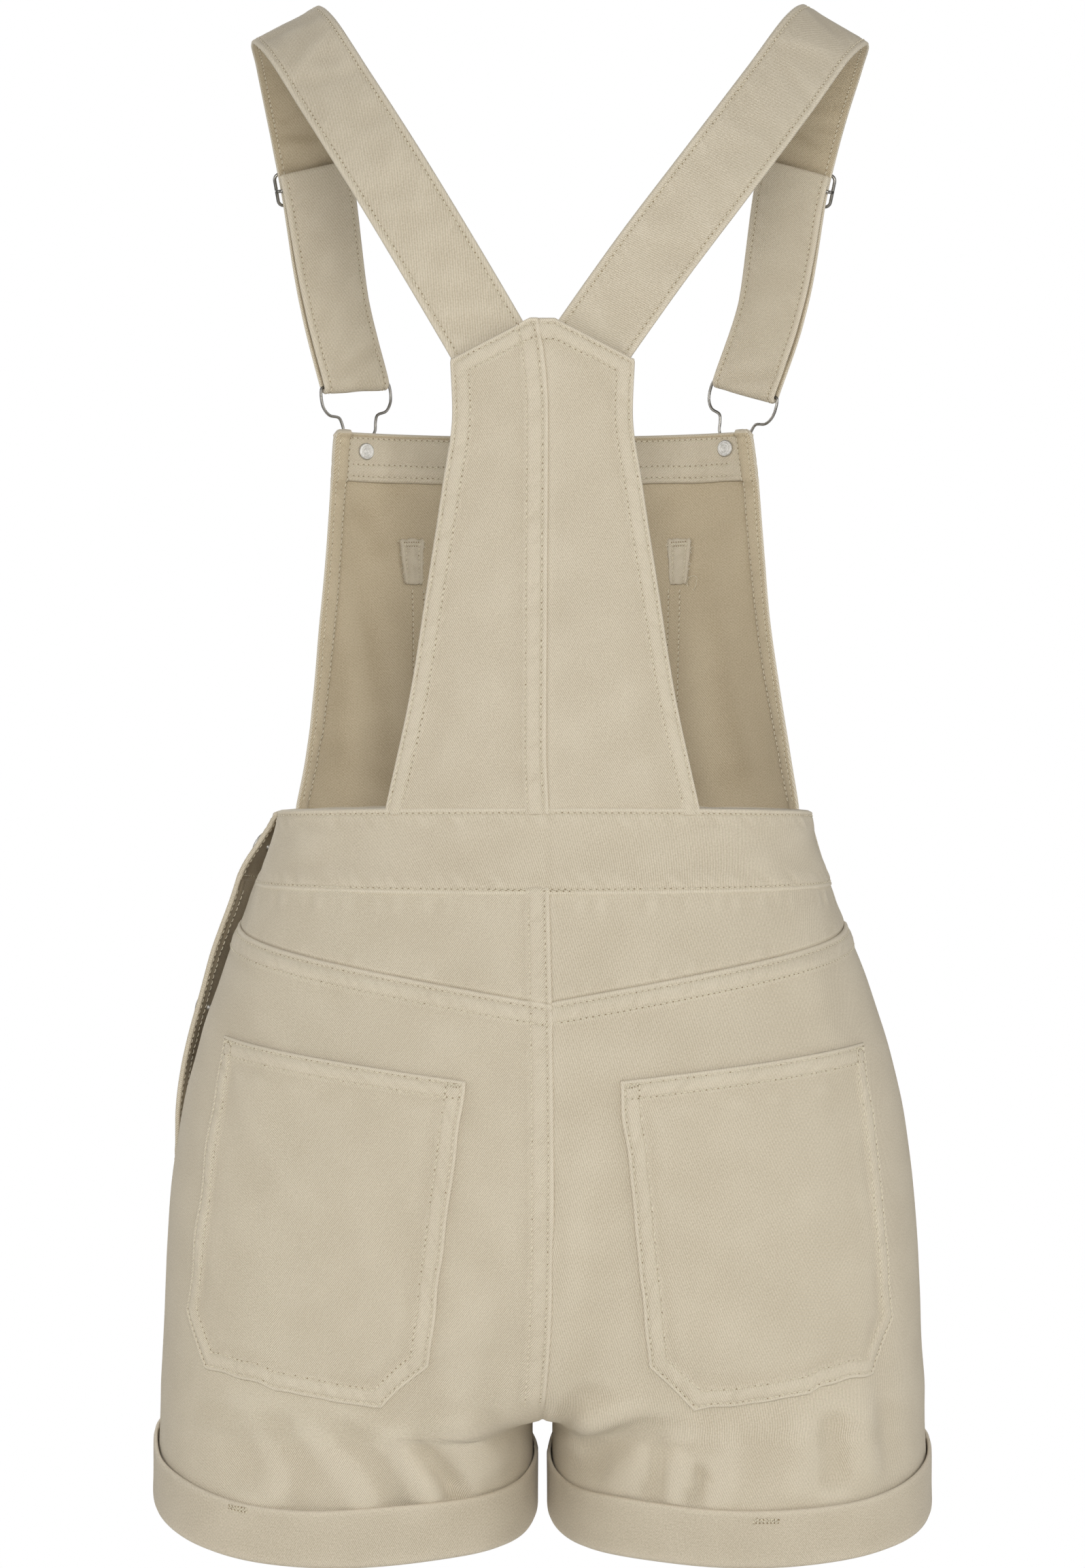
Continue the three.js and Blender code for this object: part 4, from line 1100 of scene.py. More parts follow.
def makeLeg(side, hand):
    name = ("back" if side > 0 else "front") + "Leg" + ("Left" if hand > 0 else "Right")
    seamRows = legLook["seamRows"]
    placketRows = legLook["placketRows"]
    wall = legLook["wall"]
    wide, high = legLook["grid"]
    zone = legLook["seamZone"]
    reachOf = sideBack if side > 0 else sideFront
    seed = 60 + 2 * side + hand

    def topOf(s):
        return yokeLow(s) if side > 0 else bandLowFrom(sideFront, np.abs(s)) + 2.5

    def place(s, level):
        return onFall(side, hand, s, level)

    def lift(s, level):
        point, _ = place(s, level)
        above = ease((level + 704) / 14)
        fromSeam = s + seamOffset(level) * hand
        fromTop = topOf(s) - level
        toSide = reachOf(level) - s
        height = legFolds(side, hand, point)
        body = np.zeros(np.shape(s))
        pull = np.zeros(np.shape(s))
        if side > 0:
            body, pull = sewnEdge(fromTop, s, seed, legLook["fell"], seamRows)
            height = height * ease((fromTop - 1) / 8)
        if hand > 0:
            fell, tug = sewnEdge(fromSeam, level, seed + 5, legLook["fell"], seamRows)
            body = np.maximum(body, fell * above)
            pull = pull + tug * above
        else:
            body = body - 1.0 * (1 - ease((fromSeam + 0.5) / 1.2)) * above
        height = height + body + pull
        ditch = bell((toSide + 0.2) / 1.6)
        if side > 0 and hand > 0:
            height = height + seatSink(level, -toSide)
            ditch = ditch * (1 - ease((level + 575) / 12))
        if side < 0 and hand > 0:
            height = height + openingLift(level, toSide)
            edge, dip = sewnEdge(toSide, level, seed + 9, 0.7, placketRows)
            opened = ease((level + 596) / 14)
            height = height + (edge + dip) * opened
            ditch = ditch * (1 - opened)
        height = height - 0.8 * ditch
        below = 1 - above
        height = height - 0.7 * bell(s / 2.2) * below
        return height

    def wallOf(s, level):
        thick = wall + np.zeros(np.shape(s))
        if side < 0 and hand > 0:
            toSide = reachOf(level) - s
            opened = ease((level + 596) / 14)
            thick = thick + 1.1 * (1 - ease((toSide - 11.4) / 0.9)) * opened
            thick = thick - 0.4 * bell((toSide - placketRows[0]) / 0.8) * opened
        return thick

    closeAcross = (0, *seamRows) if hand > 0 else (seamUnder,)
    if side < 0 and hand > 0:
        closeAcross = (*closeAcross, wide - placketRows[0], wide - placketRows[1], wide)
    across = spaced(wide, legLook["cell"], closeAcross, 0.85)
    down = spaced(high, legLook["cell"], (0, *seamRows) if side > 0 else (), 0.85)
    x, y = np.meshgrid(across, down)
    split = 250.0  # this far down the rows is the crotch level
    level = np.where(y < split, mix(-500, crotchLevel, y / split), crotchLevel - (y - split))
    for _ in range(4):
        above = ease((level + 716) / 10)
        start = (-seamOffset(level) if hand > 0 else (seamOffset(level) - seamUnder) * above)
        start = start + 0.15 * (1 - above)
        total = reachOf(level) - 0.15
        if side > 0 and hand > 0:
            total = total + underlapAt(level)
        steady = np.minimum(total, legLook["steady"])
        innerEnd = total - (1 - legLook["inner"]) * steady
        w = np.clip((x - zone) / (wide - zone), 0, 1)
        inner = legLook["inner"]
        s = np.where(w < inner, mix(start + zone, innerEnd, w / inner), total - (1 - w) * steady)
        s = np.where(x < zone, start + x, s)
        hemPoint, _ = place(np.maximum(s, 0), np.full(s.shape, float(hemLevel)))
        hem = hemAt(hand, hemPoint[..., 0], hemPoint[..., 1]) + 1.5
        top = topOf(s)
        upper = stretched(y, split, 14, 2, -top, -float(crotchLevel)) * -1
        level = np.where(y <= split, upper, mix(float(crotchLevel), hem, (y - split) / (high - split)))
    point, normal = place(s, level)
    normal = gridNormal(point, normal, level)
    # The weave is measured from the side seam below the seat, so that it runs on past the crotch
    woven = np.where(level < -690, reachOf(-690.0) - reachOf(level) + s, s)
    grain = grainOf(-woven * hand * side, level, legLook["turn"][hand])
    wearAndShade = sewnWear(topOf(s) - level, seamRows) * (side > 0)
    if hand > 0:
        wearAndShade = np.maximum(wearAndShade, sewnWear(s + seamOffset(level), seamRows) * ease((level + 704) / 14))
    piece = clothShell(name, point, normal, lift(s, level), wallOf(s, level), grain, wearAndShade=wearAndShade)
    threads = []
    if side > 0:
        run = np.linspace(-seamOffset(-500.0) * hand + 1, reachOf(-480.0) + (10 if hand > 0 else -1), 260)
        for d in seamRows:
            threads.append(rowOn(place, lift, wall, run, yokeLow(run) - d / 0.985))
    if hand > 0:
        levels = np.linspace(-698, -505 if side > 0 else -450, 180)
        for d in seamRows:
            threads.append(rowOn(place, lift, wall, d - seamOffset(levels), levels))
        if side < 0:
            levels = np.linspace(-590, -450, 120)
            for d in placketRows:
                for inside in (False, True):
                    threads.append(rowOn(place, lift, wallOf, reachOf(levels) - d, levels, inside))
    node = ("back" if side > 0 else "front") + "_leg_" + ("left" if hand > 0 else "right")
    finishCloth(piece, [node],
                [threadMesh("thread" + name[0].upper() + name[1:], threads)] if threads else ())
    return place, lift


seatLift = {}
for hand in (1, -1):
    seatLift[hand] = makeLeg(1, hand)[1]
    makeLeg(-1, hand)


# Turn-ups: closed rings folded up outside each leg, open along their top edge
cuffLook = {
    "height": 28, "lift": 2.7, "wall": 1.8, "cell": 2.0, "hemWall": 2.4, "round": 600, "count": 340,
    "tack": {1: 0.075, -1: 0.01}, "tackHalf": 5.5,
    "cut": (0.612, 0.034), "area": 0.0206, "held": "folded",
    "restsOn": ["backLegLeft", "backLegRight", "frontLegLeft", "frontLegRight"],
}
# Where each turn-up's top edge leans out or in: place round the leg in turns, lean, width
cuffLeans = {
    1: [(0.02, 0.6, 0.03), (0.25, 0.7, 0.05), (0.93, 0.9, 0.03), (0.62, 0.8, 0.05), (0.41, 0.6, 0.04)],
    -1: [(0.24, 0.9, 0.04), (0.06, 0.5, 0.03), (0.92, 0.7, 0.03), (0.55, 0.8, 0.05), (0.36, 0.5, 0.04)],
}


def makeCuff(hand):
    name = "Left" if hand > 0 else "Right"
    height = cuffLook["height"]
    length = cuffLook["round"]

    def place(turns, up):
        turns, up = np.broadcast_arrays(np.asarray(turns, float), np.asarray(up, float))
        angle = 2 * math.pi * turns
        low = np.full(np.shape(turns), float(hemLevel))
        edge = rimPoint(formAt(low), angle, low)
        hem = hemAt(hand, edge[..., 0], edge[..., 1])
        rise = up * (1 + 0.035 * unevenLine(turns * length, 75 + hand, 150))
        point, normal = formPoint(angle, hem + rise)
        point[..., 0] *= hand
        normal[..., 0] *= hand
        return point, normal

    def lift(turns, up):
        out = cuffLook["lift"] + np.zeros(np.shape(turns))
        high = ease((up - 8) / 20)
        for at, lean, width in cuffLeans[hand]:
            away = (turns - at + 0.5) % 1 - 0.5
            out = out + lean * bell(away / width) * high
        out = out + 0.4 * unevenLine(turns * length, 71 + hand, 60) * (0.4 + 0.6 * high)
        out = out - 0.9 * (1 - ease((up + 0.6) / 2.6))
        out = out - 0.35 * (1 - ease((height - up) / 1.4))
        for seam in (0.25, 0.75):
            away = ((turns - seam + 0.5) % 1 - 0.5) * 610
            out = out - 0.45 * bell(away / 1.1)
        return out

    def wall(turns, up):
        return cuffLook["wall"] + cuffLook["hemWall"] * (1 - ease(up / 3.4))

    turns = np.arange(cuffLook["count"]) / cuffLook["count"] + 0.75
    up = spaced(height, cuffLook["cell"], (0, height), 0.7)
    a, b = np.meshgrid(turns, up)
    point, normal = place(a, b)
    run = np.linalg.norm(np.roll(point, -1, axis=1) - point, axis=2)
    along = np.concatenate([np.zeros((len(up), 1)), np.cumsum(run, axis=1)[:, :-1]], axis=1)
    wearAndShade = np.maximum(bell((height - b) / 1.0), 0.6 * bell(b / 1.5))
    piece = clothShell(f"cuff{name}", point, normal, lift(a, b), wall(a, b),
                       grainOf(-along * hand, b), ring=True, wearAndShade=wearAndShade, inside=0, outside=1,
                       cloths=[twillFace, twillTurnUp])
    centre = cuffLook["tack"][hand]
    half = cuffLook["tackHalf"] / length
    count = 13
    zig = np.linspace(centre - half, centre + half, count)
    rise = np.where(np.arange(count) % 2 == 0, height - 2.4, height - 4.6)
    fine = np.interp(np.linspace(0, count - 1, 121), np.arange(count), zig)
    fineUp = np.interp(np.linspace(0, count - 1, 121), np.arange(count), rise)
    rows = [rowOn(place, lift, cuffLook["wall"], fine, fineUp, step=2.33)]
    for level in (height - 2.6, height - 4.4):
        flat = np.linspace(centre - half, centre + half, 20)
        rows.append(rowOn(place, lift, cuffLook["wall"], flat, level, step=1.8))
    finishCloth(piece, [f"cuff_{name.lower()}"], [threadMesh(f"threadCuff{name}", rows)])


for hand in (1, -1):
    makeCuff(hand)


# Back patch pockets: folded edges all round, two rows of stitches, and a wavy lower edge
pocketLook = {
    "inner": 37.5, "level": -538, "width": 140, "height": 163, "cutAcross": 21, "cutUp": 24,
    "lean": {1: 7.4, -1: 5.9}, "rows": (1.9, 8.7), "hem": 0.85, "gap": 1.25, "wall": 1.15,
    "cell": 1.5, "turn": {1: 3, -1: 11}, "step": {1: 1.4, -1: 2.8}, "stepAt": {1: 79, -1: 82},
    "cut": (0.156, 0.185), "area": 0.0262, "held": "stretched",
}


def pocketLow(a):
    toEdge = np.minimum(a, pocketLook["width"] - a)
    return pocketLook["height"] - pocketLook["cutUp"] * np.maximum(1 - toEdge / pocketLook["cutAcross"], 0)


def pocketEdges(a, b):
    width = pocketLook["width"]
    high = pocketLook["height"]
    cut = np.array([pocketLook["cutUp"], pocketLook["cutAcross"]], float)
    cut = cut / np.linalg.norm(cut)
    corner = high - pocketLook["cutUp"]
    slantIn = a * cut[0] + (corner - b) * cut[1]
    slantOut = (width - a) * cut[0] + (corner - b) * cut[1]
    return np.minimum.reduce([a, width - a, b, high - b, slantIn, slantOut])


def insetU(d, count=520):
    width = pocketLook["width"]
    high = pocketLook["height"]
    across = pocketLook["cutAcross"]
    rise = pocketLook["cutUp"]
    slope = rise / across
    shift = d * math.hypot(1, slope)
    corner = high - rise + slope * d - shift
    low = high - d
    foot = (low - (high - rise) + shift) / slope
    path = [(d, 1.0), (d, corner), (foot, low), (width - foot, low), (width - d, corner), (width - d, 1.0)]
    path = np.array(path)
    run = np.concatenate([[0], np.cumsum(np.linalg.norm(np.diff(path, axis=0), axis=1))])
    at = np.linspace(0, run[-1], count)
    return np.interp(at, run, path[:, 0]), np.interp(at, run, path[:, 1])


def makePocket(hand):
    name = "Left" if hand > 0 else "Right"
    turn = math.radians(pocketLook["lean"][hand])
    rows = pocketLook["rows"]
    wall = pocketLook["wall"]
    high = pocketLook["height"]
    width = pocketLook["width"]

    def place(a, b):
        low = ease((b - 90) / 70)
        sag = -pocketLook["step"][hand] * ease((a - pocketLook["stepAt"][hand] + 5) / 10)
        sag = sag + 0.7 * unevenLine(a, 82 + hand, 30)
        side = 0.5 * unevenLine(b, 84 + hand, 42) * (ease((14 - a) / 10) + ease((a - width + 14) / 10))
        down = b + sag * low
        across = a + side
        s = pocketLook["inner"] + across * math.cos(turn) + down * math.sin(turn)
        level = pocketLook["level"] + across * math.sin(turn) - down * math.cos(turn)
        return onFall(1, hand, s, level)

    def lift(a, b):
        point, _ = place(a, b)
        height = legFolds(1, hand, point)
        s = pocketLook["inner"] + a * math.cos(turn) + b * math.sin(turn)
        if hand > 0:
            height = height + seatSink(point[..., 2], s - sideBack(point[..., 2]))
        edge = pocketEdges(a, b)
        body, pull = sewnEdge(edge, a + b, 85 + hand, pocketLook["hem"], rows, 0.3, 0.3)
        mouth = np.sin(math.pi * np.clip(a / width, 0, 1)) ** 0.7 * bell(b / 16)
        height = height + pocketLook["gap"] + body + pull + 0.9 * mouth
        inside = ease((edge - 9) / 10)
        height = height + inside * (0.35 * unevenFace(a, b, 88 + hand, 60) + 0.25)
        height = height + 0.35 * bell((b - 16) / 5) * unevenLine(a, 89 + hand, 26) * inside
        return height

    across = spaced(width, pocketLook["cell"], (0, *rows, width - rows[0], width - rows[1], width), 0.75)
    down = spaced(high, pocketLook["cell"], (0, *rows, high - rows[0], high - rows[1], high), 0.75)
    a, y = np.meshgrid(across, down)
    b = stretched(y, high, 12, 14, 0.0, pocketLow(a))
    point, normal = place(a, b)
    wearAndShade = sewnWear(pocketEdges(a, b), rows)
    piece = clothShell(f"backPocket{name}", point, normal, lift(a, b), wall,
                       grainOf(-hand * a, -b, pocketLook["turn"][hand]), wearAndShade=wearAndShade)
    threads = []
    for d in rows:
        threads.append(rowOn(place, lift, wall, *insetU(d)))
        top = np.linspace(1.2, width - 1.2, 160)
        threads.append(rowOn(place, lift, wall, top, d))
    for start, end in ((1.2, 9.2), (width - 9.2, width - 1.2)):
        zig = np.linspace(start, end, 11)
        rise = np.where(np.arange(11) % 2 == 0, 1.4, 3.4)
        fine = np.linspace(0, 10, 101)
        threads.append(rowOn(place, lift, wall, np.interp(fine, np.arange(11), zig),
                             np.interp(fine, np.arange(11), rise), step=2.15))
    finishCloth(piece, [f"back_pocket_{name.lower()}"], [threadMesh(f"threadPocket{name}", threads)])


for hand in (1, -1):
    makePocket(hand)


# Bib: its side edges are folded to the inside, which is what shows between the straps
bibLook = {
    "cell": 2.3, "rows": (1.9, 8.4), "facingRows": (2.0, 16.5, 23), "wall": 1.3, "fold": 1.25,
    "hemWear": 0.4, "grid": (280, 200),
    "cut": (0.33, 0.24), "area": 0.0585, "held": "hung", "restsOn": ["strapLeft", "strapRight"],
}
bibForm = [
    (-406, 150, 161), (-375, 141, 151), (-330, 133, 139), (-273, 125.5, 129), (-236, 122.5, 125),
    (-206, 119, 120),
]
bibTop = -206
pocketReach = {1: 76, -1: 80}  # from the middle to each side of the bib pocket
# Soft folds of the bib: s0, level0, s1, level1, bow, depth, width
bibFolds = [
    (100, -214, 60, -236, 4, -1.3, 9), (-104, -214, -58, -238, -4, -1.4, 10),
    (88, -208, 92, -250, 3, 0.9, 12), (-92, -208, -96, -256, -3, 1.0, 12),
    (120, -300, 146, -392, 3, -1.3, 12), (-128, -310, -152, -392, -3, -1.1, 13),
    (40, -398, 110, -384, 3, 1.1, 9), (-30, -398, -118, -386, -3, 1.0, 10),
    (70, -352, 134, -366, 2, -0.8, 10), (10, -240, 16, -380, 5, 0.5, 22),
    (100, -300, 86, -384, 3, 1.7, 9), (66, -300, 56, -392, 2, -1.5, 8), (114, -286, 104, -392, 2, -1.5, 9),
    (-98, -296, -112, -386, -3, 1.6, 9), (-84, -310, -92, -396, -2, -1.6, 8),
    (-116, -250, -96, -330, -3, -1.0, 10), (112, -244, 90, -268, 2, 0.9, 8),
]


def bibHalf(s, level):
    return np.where(s > 0, readTable(bibForm, 1, level), readTable(bibForm, 2, level))


def bibPlace(s, level):
    return onForm(-1, 1, s, level)


def bibSoft(s, level):
    return foldLift(s, level, bibFolds) + 0.5 * unevenFace(s, level, 91, 60)


def bibLift(s, level):
    toSide = bibHalf(s, level) - np.abs(s)
    toTop = bibTop - level
    edge = np.minimum(toSide, toTop)
    height = bibSoft(s, level) * ease((toTop + 4) / 24)
    for row in bibLook["rows"]:
        height = height - 0.3 * bell((toSide - row) / 0.8)
    for row in bibLook["facingRows"]:
        height = height - 0.28 * bell((toTop - row) / 0.8)
    return height - 0.3 * (1 - ease((edge + 0.3) / 1.1))


def bibWall(s, level):
    toSide = bibHalf(s, level) - np.abs(s)
    toTop = bibTop - level
    body, pull = sewnEdge(toSide, level, 93, bibLook["fold"], bibLook["rows"], fall=0.8)
    over = 1 + 1.25 * ease((27.5 - toTop) / 1.6)
    wall = bibLook["wall"] + body * over + pull
    return wall + 1.9 * (1 - ease((toTop - 0.5) / 1.5))


def makeBib():
    rows = bibLook["rows"]
    wide, high = bibLook["grid"]
    across = spaced(wide, bibLook["cell"], (0, *rows, wide - rows[0], wide - rows[1], wide), 0.8)
    down = spaced(high, bibLook["cell"], (0, *bibLook["facingRows"]), 0.8)
    x, y = np.meshgrid(across, down)
    level = mix(float(bibTop), -409.0, y / high)
    for _ in range(2):
        right = -readTable(bibForm, 2, level)
        left = readTable(bibForm, 1, level)
        s = stretched(x, wide, 12, 12, right, left)
        level = stretched(y, high, 27, 2, -float(bibTop), -(bandTop(s) - 2.0)) * -1
    point, normal = bibPlace(s, level)
    toSide = bibHalf(s, level) - np.abs(s)
    wearAndShade = bell(np.minimum(toSide, bibTop - level) / 1.2)
    piece = clothShell("frontBib", point, normal, bibLift(s, level), bibWall(s, level),
                       np.stack([s, level], -1), wearAndShade=wearAndShade,
                       backWear=bibLook["hemWear"] * (1 - ease((toSide - rows[1] - 0.4) / 0.8)))
    threads = []
    levels = np.linspace(-404, -207.5, 220)
    for inside in (False, True):
        for d in rows:
            for sign, column in ((1, 1), (-1, 2)):
                side = sign * (readTable(bibForm, column, levels) - d)
                threads.append(rowOn(bibPlace, bibLift, bibWall, side, levels, inside))
    run = np.linspace(-117, 117, 240)
    for row in bibLook["facingRows"]:
        threads.append(rowOn(bibPlace, bibLift, bibWall, run, bibTop - row))
    levels = np.linspace(-287, -382, 90)
    for sign, reach in pocketReach.items():
        for d in (3.4, 9.8):
            side = sign * (reach - d + (levels + 268) * 0.022)
            threads.append(rowOn(bibPlace, bibLift, bibWall, side, levels, True))
    for d in (3.0, 9.4):
        foot = np.linspace(-74, 71, 130)
        threads.append(rowOn(bibPlace, bibLift, bibWall, foot, -383 + d, True))
    finishCloth(piece, ["bib"], [threadMesh("threadBib", threads)])


makeBib()

# Turned top hem of the bib, on its inside
facingLook = {
    "height": 25, "rows": (2.3, 8.6), "cell": 1.9, "wide": 236, "from": 1.2, "inset": 8.9,
    "cut": (0.222, 0.034), "area": 0.0075,
    "held": "folded", "restsOn": ["frontBib"],
}


def makeFacing():
    def place(s, t):
        return onForm(-1, 1, s, bibTop - t)

    def lift(s, t):
        return bibLift(s, bibTop - t) - bibLook["wall"] - 0.12

    def wall(s, t):
        toFoot = facingLook["height"] - t
        body, pull = sewnEdge(toFoot, s, 95, 0.5, facingLook["rows"], 0.25, 0.3)
        thick = 1.45 + body + pull + 0.25 * unevenFace(s, t, 96, 22)
        return thick - 0.4 * bell((t - 2.0) / 0.9)

    high = facingLook["height"]
    rows = facingLook["rows"]
    wide = facingLook["wide"]
    inset = facingLook["inset"]
    deep = high - facingLook["from"]
    across = spaced(wide, facingLook["cell"], (0, wide), 0.8)
    down = spaced(deep, 1.6, (0.8, deep - rows[0], deep - rows[1], deep), 0.7)
    x, y = np.meshgrid(across, down)
    t = y + facingLook["from"]
    right = -(readTable(bibForm, 2, bibTop - t) - inset)
    left = readTable(bibForm, 1, bibTop - t) - inset
    s = mix(right, left, x / wide)
    t = t + 0.5 * unevenLine(s, 97, 60) * ease((t - 14) / 10)
    point, normal = place(s, t)
    wearAndShade = bell((high - t) / 1.2)
    piece = clothShell("bibFacing", point, normal, lift(s, t), wall(s, t), np.stack([s, -t], -1),
                       wearAndShade=wearAndShade, inside=0)
    run = np.linspace(-109.5, 109.5, 240)
    threads = [rowOn(place, lift, wall, run, high - row + 0.5 * unevenLine(run, 97, 60), True)
               for row in rows]
    threads.append(rowOn(place, lift, wall, run, 2.0, True))
    finishCloth(piece, ["bib_facing"], [threadMesh("threadFacing", threads)])


makeFacing()

# Bib pocket on the outside, and the two taped reinforcements behind its top corners
bibPocketLook = {
    "top": -268, "height": 115, "taper": 2.5, "rows": (1.9, 8.4),
    "cell": 2.2, "wall": 1.15, "cut": (0.172, 0.135), "area": 0.0212, "held": "stretched",
    "restsOn": ["frontBib"],
}


def makeBibPocket():
    high = bibPocketLook["height"]
    rows = bibPocketLook["rows"]
    wall = bibPocketLook["wall"]
    wide = pocketReach[1] + pocketReach[-1]

    def halfOf(s, t):
        half = np.where(s > 0, pocketReach[1], pocketReach[-1])
        return half - t / high * bibPocketLook["taper"]

    def place(s, t):
        return onForm(-1, 1, s, bibPocketLook["top"] - t)

    def lift(s, t):
        edge = np.minimum.reduce([halfOf(s, t) - np.abs(s), t, high - t])
        body, pull = sewnEdge(edge, s + t, 101, 0.8, rows)
        mouth = np.cos(np.clip(2 * s / wide, -1, 1) * math.pi / 2) * bell(t / 16)
        return bibSoft(s, bibPocketLook["top"] - t) + 1.35 + body + pull + 0.8 * mouth

    across = spaced(wide, bibPocketLook["cell"], (0, *rows, wide - rows[0], wide - rows[1], wide), 0.8)
    down = spaced(high, bibPocketLook["cell"], (0, *rows, high - rows[0], high - rows[1], high), 0.8)
    x, t = np.meshgrid(across, down)
    taper = t / high * bibPocketLook["taper"]
    s = stretched(x, wide, 12, 12, -(pocketReach[-1] - taper), pocketReach[1] - taper)
    point, normal = place(s, t)
    edge = np.minimum.reduce([halfOf(s, t) - np.abs(s), t, high - t])
    piece = clothShell("bibPocket", point, normal, lift(s, t), wall,
                       np.stack([s, -t], -1), wearAndShade=bell(edge / 1.2))
    threads = []
    for d in rows:
        down = np.linspace(1.5, high - d, 110)
        for sign, reach in pocketReach.items():
            side = sign * (reach - down / high * bibPocketLook["taper"] - d)
            threads.append(rowOn(place, lift, wall, side, down))
        run = np.linspace(-(pocketReach[-1] - 2 - d), pocketReach[1] - 2 - d, 150)
        threads.append(rowOn(place, lift, wall, run, d))
        threads.append(rowOn(place, lift, wall, run, high - d))
    finishCloth(piece, ["bib_pocket"], [threadMesh("threadBibPocket", threads)])


makeBibPocket()

patchLook = {
    "top": -262, "height": 24, "width": 12, "fibres": 34, "fibre": 0.17, "inset": 4, "cell": 0.9,
    "lean": {1: -1.0, -1: 0.8},
    "cut": (0.012, 0.024), "held": "stretched", "restsOn": ["frontBib"],
}


# Loose fibres of the raw edge, and one long thread that came out of the right patch's corner
def frayPaths(rng, hand):
    high = patchLook["height"]
    half = patchLook["width"] / 2
    paths = []
    for _ in range(patchLook["fibres"]):
        side = rng.choice((-1, 1))
        start = rng.uniform(0, high)
        reach = rng.uniform(0.5, 1.9)
        drift = rng.uniform(-2.4, 2.4)
        paths.append([
            (side * (half - 0.5), start), (side * (half + 0.5 * reach), start + 0.3 * drift),
            (side * (half + reach), start + 0.7 * drift), (side * (half + 0.7 * reach), start + drift),
        ])
    if hand < 0:
        paths.append([(-3, 22), (-7, 21), (-11, 19.6), (-14, 21), (-14.6, 25), (-12.6, 28), (-11.6, 27)])
    return paths


# A fibre or thread lying loosely over the cloth along a path, drawn thicker than a real one to show
def frayed(place, lift, path):
    places = np.linspace(0, len(path) - 1, 3 * len(path))
    a, t = np.array([throughLine(path, k) for k in places]).T
    point, normal = place(a, t)
    low = lift(a, t) - 0.5 - 0.4 * np.sin(2.1 * places)
    return wirePoints(point + normal * low[:, None], patchLook["fibre"], False, 4)


def throughLine(path, k):
    knots = np.arange(len(path))
    return [np.interp(k, knots, [each[0] for each in path]), np.interp(k, knots, [each[1] for each in path])]


def makePatch(hand):
    name = "Left" if hand > 0 else "Right"
    middle = hand * (pocketReach[hand] - patchLook["inset"])
    high = patchLook["height"]
    wide = patchLook["width"]

    def place(a, t):
        lean = patchLook["lean"][hand] * (t / high - 0.5)
        narrow = 1.06 - 0.32 * t / high
        return onForm(-1, 1, middle + a * narrow + lean, patchLook["top"] - t)

    def lift(a, t):
        s = middle + a
        level = patchLook["top"] - t
        return bibLift(s, level) - bibWall(s, level) - 0.1 + np.zeros(np.shape(a))

    def wall(a, t):
        toSide = wide / 2 - np.abs(a)
        thick = 1.25 - 0.45 * bell((toSide - 2.2) / 0.7) + 0.35 * bell((toSide - 0.4) / 1.0)
        return thick + 0.25 * unevenFace(a, t, 105 + hand, 6)

    rng = np.random.default_rng(107 + hand)
    across = np.linspace(-wide / 2, wide / 2, int(wide / patchLook["cell"]) + 1)
    down = np.linspace(0, high, int(high / patchLook["cell"]) + 1)
    a, t = np.meshgrid(across, down)
    ragged = rng.uniform(-0.25, 0.25, t.shape)
    a = a + np.where(np.abs(np.abs(a) - wide / 2) < 0.01, ragged, 0)
    t = t + np.where((t < 0.01) | (t > high - 0.01), rng.uniform(-0.4, 0.4, t.shape), 0)
    point, normal = place(a, t)
    piece = clothShell(f"patch{name}", point, normal, lift(a, t), wall(a, t),
                       np.stack([a * 1.3, -t * 1.3], -1), inside=0)
    threads = []
    down = np.linspace(1, high - 0.5, 40)
    for side in (-wide / 2 + 2.2, wide / 2 - 2.2):
        threads.append(rowOn(place, lift, wall, side + 0 * down, down, True, 2.4))
    count = 15
    zig = np.linspace(-wide / 2 + 1.5, wide / 2 - 1.5, count)
    rise = np.where(np.arange(count) % 2 == 0, 1.5, 3.6)
    fine = np.linspace(0, count - 1, 141)
    threads.append(rowOn(place, lift, wall, np.interp(fine, np.arange(count), zig),
                         np.interp(fine, np.arange(count), rise), True, 2.2))
    frays = [frayed(place, lift, path) for path in frayPaths(rng, hand)]
    fray = joinedMesh(f"fray{name}", frays, sewingThread)
    stitches = threadMesh(f"threadPatch{name}", threads)
    finishCloth(piece, [f"pocket_patch_{name.lower()}"], [stitches, fray])


for hand in (1, -1):
    makePatch(hand)


# Straps, hooks and sliders. A strap runs from under the back panel over the shoulder, through the
# slider and down to the hook's bar, where it turns back up inside itself.
strapStations = [
    # z, y, then reach and lean in degrees of the left strap and of the right one
    (-193, 96.4, 18, 33, 14, 38), (-177, 96.8, 27, 33, 25, 38), (-136, 94.5, 51, 33, 54, 38),
    (-92, 83, 77, 33, 86.5, 38), (-47, 58, 104, 31, 118.5, 35), (-15, 30, 123, 30, 140, 33),
    (-3.5, 0, 132.5, 28, 151, 31), (-12, -32, 131.5, 24, 149.5, 26), (-38, -61, 127, 18, 142, 19),
    (-72, -80, 121, 13, 134, 13),
]
strapEnds = {
    1: {"s": 104.5, "level": -179, "buttonS": 100.5, "buttonLevel": -215, "above": 112},
    -1: {"s": 114, "level": -181.5, "buttonS": 104.5, "buttonLevel": -213.5, "above": 123},
}
strapLook = {
    "width": 38, "wall": 2.2, "cell": 1.7, "row": 2.7, "loopHalf": 2.6, "aboveHook": 44,
    "cut": (0.041, 0.62), "area": 0.0245, "held": "stretched",
    "hungFrom": 320, "hungDeeper": 0.9,
}
